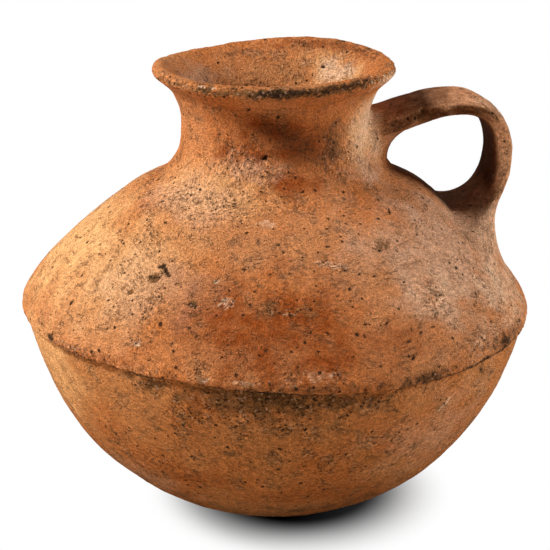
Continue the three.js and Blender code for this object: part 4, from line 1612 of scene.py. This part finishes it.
FRONT_PITS: tuple[tuple[float, float, float], ...] = (
    (-140, 131, 1.0), (-137, 131, 1.1), (-127, 132, 1.2), (-136, 121, 1.2), (-123, 113, 1.2),
    (-113, 135, 1.0), (-106, 150, 1.4), (-159, 147, 1.2), (-142, 149, 1.1), (-144, 144, 1.2),
    (-149, 144, 1.0), (-127, 161, 1.2), (-122, 162, 1.2), (-116, 127, 1.2), (-114, 125, 1.1),
    (-124, 120, 1.1), (-119, 121, 1.0), (-107, 123, 1.2), (-99, 122, 1.3), (-100, 120, 1.1),
    (-57, 152, 1.0), (-77, 149, 1.3), (-86, 143, 1.1), (-81, 141, 1.0), (-78, 139, 1.0),
    (-78, 137, 1.1), (-74, 134, 1.0), (-70, 131, 1.1), (-71, 130, 1.1), (-76, 131, 1.2),
    (-77, 127, 1.2), (-65, 127, 1.1), (-63, 125, 1.1), (-59, 126, 1.2), (-67, 123, 1.1),
    (-67, 117, 1.2), (-75, 116, 1.2), (-73, 114, 1.1), (-79, 107, 1.4), (-61, 142, 1.1),
    (-73, 147, 1.0), (-69, 146, 1.0), (-52, 135, 1.3), (-40, 130, 1.0), (-76, 165, 1.2),
    (-80, 157, 1.1), (-96, 158, 1.2), (-83, 175, 1.3),
)

SEAM_MARKS: tuple[Mark, ...] = (
    Mark(-103, 98, 54, 13, CRUST, 0.7, ragged=0.5, soft=0.8),
    Mark(-98, 102, 30, 7, CRUST, 0.9, ragged=0.5, soft=0.7),
    Mark(-84, 101, 26, 7, CRUST, 0.8, ragged=0.5, soft=0.8),
    Mark(-104, 94, 64, 19, ROUGH, 1.0, ragged=0.4, soft=0.8),
    Mark(-88, 101, 44, 8, ROUGH, 1.0, ragged=0.4, soft=0.5),
    Mark(-123, 101, 6, 4, CRUST, 0.8, ragged=0.5, soft=0.6),
    Mark(-123, 101, 12, 6, ROUGH, 1.0, ragged=0.5, soft=0.8),
    Mark(-100, 109.5, 40, 2.4, ROUGH, 1.0, ragged=0.6, soft=0.8),
    Mark(-111, 108.6, 4, 1.5, PALE, 0.7, ragged=0.6),
    Mark(-103, 109, 7, 1.5, PALE, 0.55, ragged=0.7),
    Mark(-78, 102, 26, 5, SOOT, 0.4, ragged=0.5, soft=0.9),
    Mark(-98, 104.6, 58, 2.4, SOOT, 0.65, ragged=0.5, soft=0.9),
    Mark(-68, 106, 18, 5, SOOT, 0.6, ragged=0.6, soft=0.9),
    Mark(-45, 105.8, 80, 3.4, SOOT, 1.0, ragged=0.4, soft=0.75),
    Mark(-90, 105.6, 600, 2.0, SOOT, 0.75, ragged=0.6, soft=0.8),
    Mark(-65, 107.4, 16, 5, SOOT, 0.75, ragged=0.7, soft=0.9),
    Mark(-60, 107, 26, 5, ROUGH, 1.0, soft=0.8),
    # Painted shade: these three broad soft soot bands run along the lower edge of the shoulder, where its
    # rolled-over lap is in shade.
    Mark(-88, 108, 46, 4.2, SOOT, 0.45, ragged=0.3, soft=1.0),
    Mark(-66, 109, 34, 5.5, SOOT, 0.6, ragged=0.4, soft=1.0),
    Mark(-36, 110, 44, 6.0, SOOT, 0.6, ragged=0.4, soft=1.0),
    Mark(-40, 107, 26, 5, CRUST, 0.5, ragged=0.6, soft=0.9),
    Mark(-38, 109, 9.0, 6.0, SOOT, 0.9, ragged=0.7, soft=1.0),
    Mark(-139, 106, 34, 3.0, SOOT, 0.55, ragged=0.7, soft=0.9),
    Mark(-139, 107, 40, 7, RED, 0.6, ragged=0.5, soft=0.9),
    Mark(-136, 108, 60, 4, ROUGH, 1.0, soft=0.7),
    Mark(-152, 109, 4, 2.6, SOOT, 0.9, ragged=0.6),
    Mark(-156, 113, 10, 4, SOOT, 0.4, ragged=0.8, soft=0.9),
    Mark(160, 104, 90, 2.6, SOOT, 0.4, ragged=0.6, soft=0.9),
    Mark(60, 103, 120, 3.0, SOOT, 0.5, ragged=0.6, soft=0.9),
    Mark(75, 97, 54, 13, CRUST, 0.7, ragged=0.5, soft=0.9),
    Mark(75, 97, 54, 13, ROUGH, 0.9, ragged=0.5, soft=0.9),
    Mark(-57, 89, 3.6, 1.0, PALE, 0.8, tilt=42, ragged=0.4),
    Mark(-58.5, 87, 3.0, 1.0, PALE, 0.8, tilt=46, ragged=0.4),
    Mark(-56, 91.5, 2.4, 1.0, PALE, 0.7, tilt=38, ragged=0.4),
)

BOWL_MARKS: tuple[Mark, ...] = (
    Mark(-158, 92, 44, 36, BUFF, 0.7, soft=0.9),
    Mark(-137, 40, 30, 22, ASH, 0.5, soft=0.9),
    Mark(-116, 52, 30, 10, RED, 0.5, soft=0.9),
    Mark(-90, 42, 60, 14, RED, 0.35, soft=0.9),
    Mark(-95, 66, 110, 34, ROUGH, 0.45, soft=0.9),
    Mark(-75, 30, 80, 22, SOOT, 0.28, ragged=0.3, soft=1.0),
    Mark(-55, 70, 50, 40, ASH, 0.45, soft=0.9),
    Mark(-128, 34, 22, 10, SOOT, 0.3, soft=0.9),
)

NECK_MARKS: tuple[Mark, ...] = (
    # The red-brown and soot marks from here to -82 degrees mix a real fire stain with painted shade: the
    # rim's shadow falling diagonally across the front of the neck. The small deep soot mark at -103 degrees
    # is a real pit.
    Mark(-114, 196, 24, 16, RED, 0.85, soft=0.9),
    Mark(-88, 178, 24, 13, RED, 0.9, soft=0.9),
    Mark(-103, 190, 1.9, 1.9, SOOT, 1.0, 1.8, ragged=0.3),
    Mark(-96, 203, 36, 13, RED, 1.1, tilt=-22, ragged=0.15, soft=0.95),
    Mark(-84, 194, 26, 16, RED, 1.0, ragged=0.15, soft=0.95),
    Mark(-94, 202, 36, 12, SOOT, 0.5, tilt=-22, ragged=0.15, soft=1.0),
    Mark(-82, 193, 24, 14, SOOT, 0.5, ragged=0.15, soft=1.0),
    Mark(-64, 193, 20, 22, SOOT, 0.5, ragged=0.3, soft=1.0),
    Mark(-60, 188, 13, 18, ROUGH, 1.0, soft=0.8),
    Mark(-114, 186, 34, 13, ROUGH, 1.0, soft=0.7),
    Mark(-112, 184, 26, 9, ASH, 0.55, soft=0.9),
    # Buff and pale patch on the right of the neck by the handle: partly paler clay, partly painted light
    # where the fill lamp falls.
    Mark(-26, 198, 30, 30, BUFF, 0.9, ragged=0.2, soft=0.95),
    Mark(-22, 198, 34, 32, PALE, 0.85, ragged=0.15, soft=0.95),
    Mark(-36, 178, 18, 12, ASH, 0.9, soft=0.9),
)

LIP_MARKS: tuple[Mark, ...] = (
    # Crust and soot along the front of the lip: partly real crust, soot and pits, partly painted shade of the
    # lip's front, which faces down.
    Mark(-104, 223.4, 74, 3.6, CRUST, 0.8, ragged=0.7, soft=0.8),
    Mark(-70, 223.4, 26, 4.2, CRUST, 0.85, ragged=0.7, soft=0.8),
    Mark(-66, 223.4, 18, 3.2, SOOT, 0.75, 0.4, ragged=0.9, soft=0.8),
    Mark(-95, 223.6, 30, 3.6, CRUST, 1.0, ragged=0.4, soft=0.7),
    Mark(-44, 223.4, 14, 4.0, CRUST, 0.2, ragged=0.9, soft=0.8),
    Mark(-95, 223.2, 22, 3.2, SOOT, 0.9, 0.3, ragged=0.5, soft=0.8),
    Mark(-124, 222.6, 20, 2.0, SOOT, 0.5, 0.2, ragged=0.8, soft=0.8),
    Mark(-152, 222.4, 18, 2.8, SOOT, 0.4, 0.2, ragged=0.8, soft=0.8),
    Mark(-100, 223.4, 92, 5.0, ROUGH, 0.75, soft=0.4),
    Mark(85, 223, 110, 6.0, ROUGH, 0.9, soft=0.6),
    Mark(85, 222.6, 60, 4.0, CRUST, 0.5, ragged=0.6, soft=0.8),
    # Pale patch on the right of the lip: partly paler clay, partly painted light where the fill lamp falls.
    Mark(-30, 221.5, 28, 7, PALE, 0.8, ragged=0.5, soft=0.9),
    # Painted highlights: these two small pale marks on top of the lip at the left stand for glints of the
    # lamps.
    Mark(-132, 225, 3.0, 1.2, PALE, 1.0, ragged=0.4),
    Mark(-126, 225, 2.2, 1.0, PALE, 0.9, ragged=0.4),
    Mark(54, 224, 36, 4.2, RED, 0.6, ragged=0.9, soft=0.5, inside=True),
    Mark(44, 224, 34, 4, SOOT, 0.42, ragged=1.0, soft=0.6, inside=True),
    Mark(112, 222.5, 16, 3.4, SOOT, 0.45, ragged=0.8, soft=0.8, inside=True),
    Mark(85, 210, 60, 14, BUFF, 0.25, soft=0.9, inside=True),
    # Painted light: the pale and buff patch on the inside right of the throat stands for the key lamp falling
    # on the inner wall.
    Mark(36, 213, 24, 13, PALE, 0.7, soft=0.95, inside=True),
    Mark(40, 212, 30, 16, BUFF, 0.7, soft=0.95, inside=True),
    Mark(150, 211, 30, 16, ASH, 0.8, soft=0.9, inside=True),
    Mark(130, 204, 14, 6, SOOT, 0.3, soft=0.9, inside=True),
    Mark(50, 214, 1.5, 1.3, SOOT, 1.0, 0.8, inside=True),
    Mark(104, 206, 1.5, 1.3, SOOT, 1.0, 0.8, inside=True),
)

BACK_MARKS: tuple[Mark, ...] = (
    Mark(120, 70, 70, 50, SOOT, 0.32, soft=0.9),
    Mark(70, 138, 66, 46, RED, 0.8, soft=0.9),
    Mark(140, 140, 60, 50, ASH, 0.7, soft=0.9),
    Mark(25, 90, 66, 50, ASH, 0.5, soft=0.9),
    Mark(100, 190, 28, 20, BUFF, 0.6, soft=0.9),
    Mark(88, 150, 5, 4, PALE, 0.7, 0.4, ragged=0.5),
    Mark(104, 128, 7, 6, CRUST, 0.7, 0.5, ragged=0.5),
    Mark(104, 128, 12, 10, ROUGH, 0.9, soft=0.8),
    Mark(150, 122, 3.2, 3.0, SOOT, 0.7, 1.1),
    Mark(54, 120, 3.0, 2.6, SOOT, 0.7, 0.9),
    Mark(80, 172, 44, 14, ROUGH, 0.8, soft=0.9),
    Mark(160, 150, 30, 16, ROUGH, 0.7, soft=0.9),
)


def pit(bearing: float, height: float, size: float, slim: float = 0.8, tilt: float = 0.0) -> Mark:
    """A small dark pit."""
    return Mark(bearing, height, size, size * slim, SOOT, 0.95, 0.4 * size, tilt=tilt, ragged=0.45)


def scattered_pits(count: int = 150, seed: int = 5) -> tuple[Mark, ...]:
    """Small pits where grit has dropped out of the wall.

    Args:
        count: How many there are.
        seed: Seed of the draws.

    Returns:
        Pits all round the body, most of them small.
    """
    draw = np.random.default_rng(seed)
    pits = [pit(*place) for place in FRONT_PITS]
    for bearing, height, luck, slim, tilt in draw.uniform(size=(count, 5)):
        size = 0.8 + 0.7 * luck**4
        pits.append(pit(360 * bearing - 180, 10 + 160 * height, size, 0.6 + 0.4 * slim, 80 * tilt - 40))
    return tuple(pits)


def place_piece(sheet: Sheet, node: str, slot: str, clays: dict[str, bpy.types.Material]) -> None:
    """Puts one piece in the place of its node of the frame.

    Args:
        sheet: Its mesh.
        node: The node that it stands for.
        slot: Its slot of the record.
        clays: The finishes by slot.
    """
    piece = sheet.to_object(f"{node}_clay")
    piece.data.materials.append(clays[slot])
    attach(piece, BODY)
    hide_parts(node)
    triangles = 2 * len(sheet.quads) + len(sheet.fans)
    LOG.info("%s: %d triangles, %s", piece.name, triangles, slot)


def main() -> None:
    """Builds the pot, its clay and the studio."""
    logging.basicConfig(level=logging.INFO, format="%(name)s %(message)s")
    form = PotForm()
    marks = SHOULDER_MARKS + SEAM_MARKS + BOWL_MARKS + NECK_MARKS + LIP_MARKS + BACK_MARKS
    work = HandWork(form, marks + scattered_pits())
    clays = {finish.slot: finish.material() for finish in FINISHES}
    for ring in Walls(form).rings():
        place_piece(ring.sheet(work), ring.node, ring.slot, clays)
    handle = StrapHandle(form, work)
    place_piece(handle.strap(), "handle_strap", "handle_clay", clays)
    place_piece(handle.luting(True), "upper_handle_luting", "handle_clay", clays)
    place_piece(handle.luting(False), "lower_handle_luting", "handle_clay", clays)
    Studio().build()


if __name__ == "__main__":
    main()
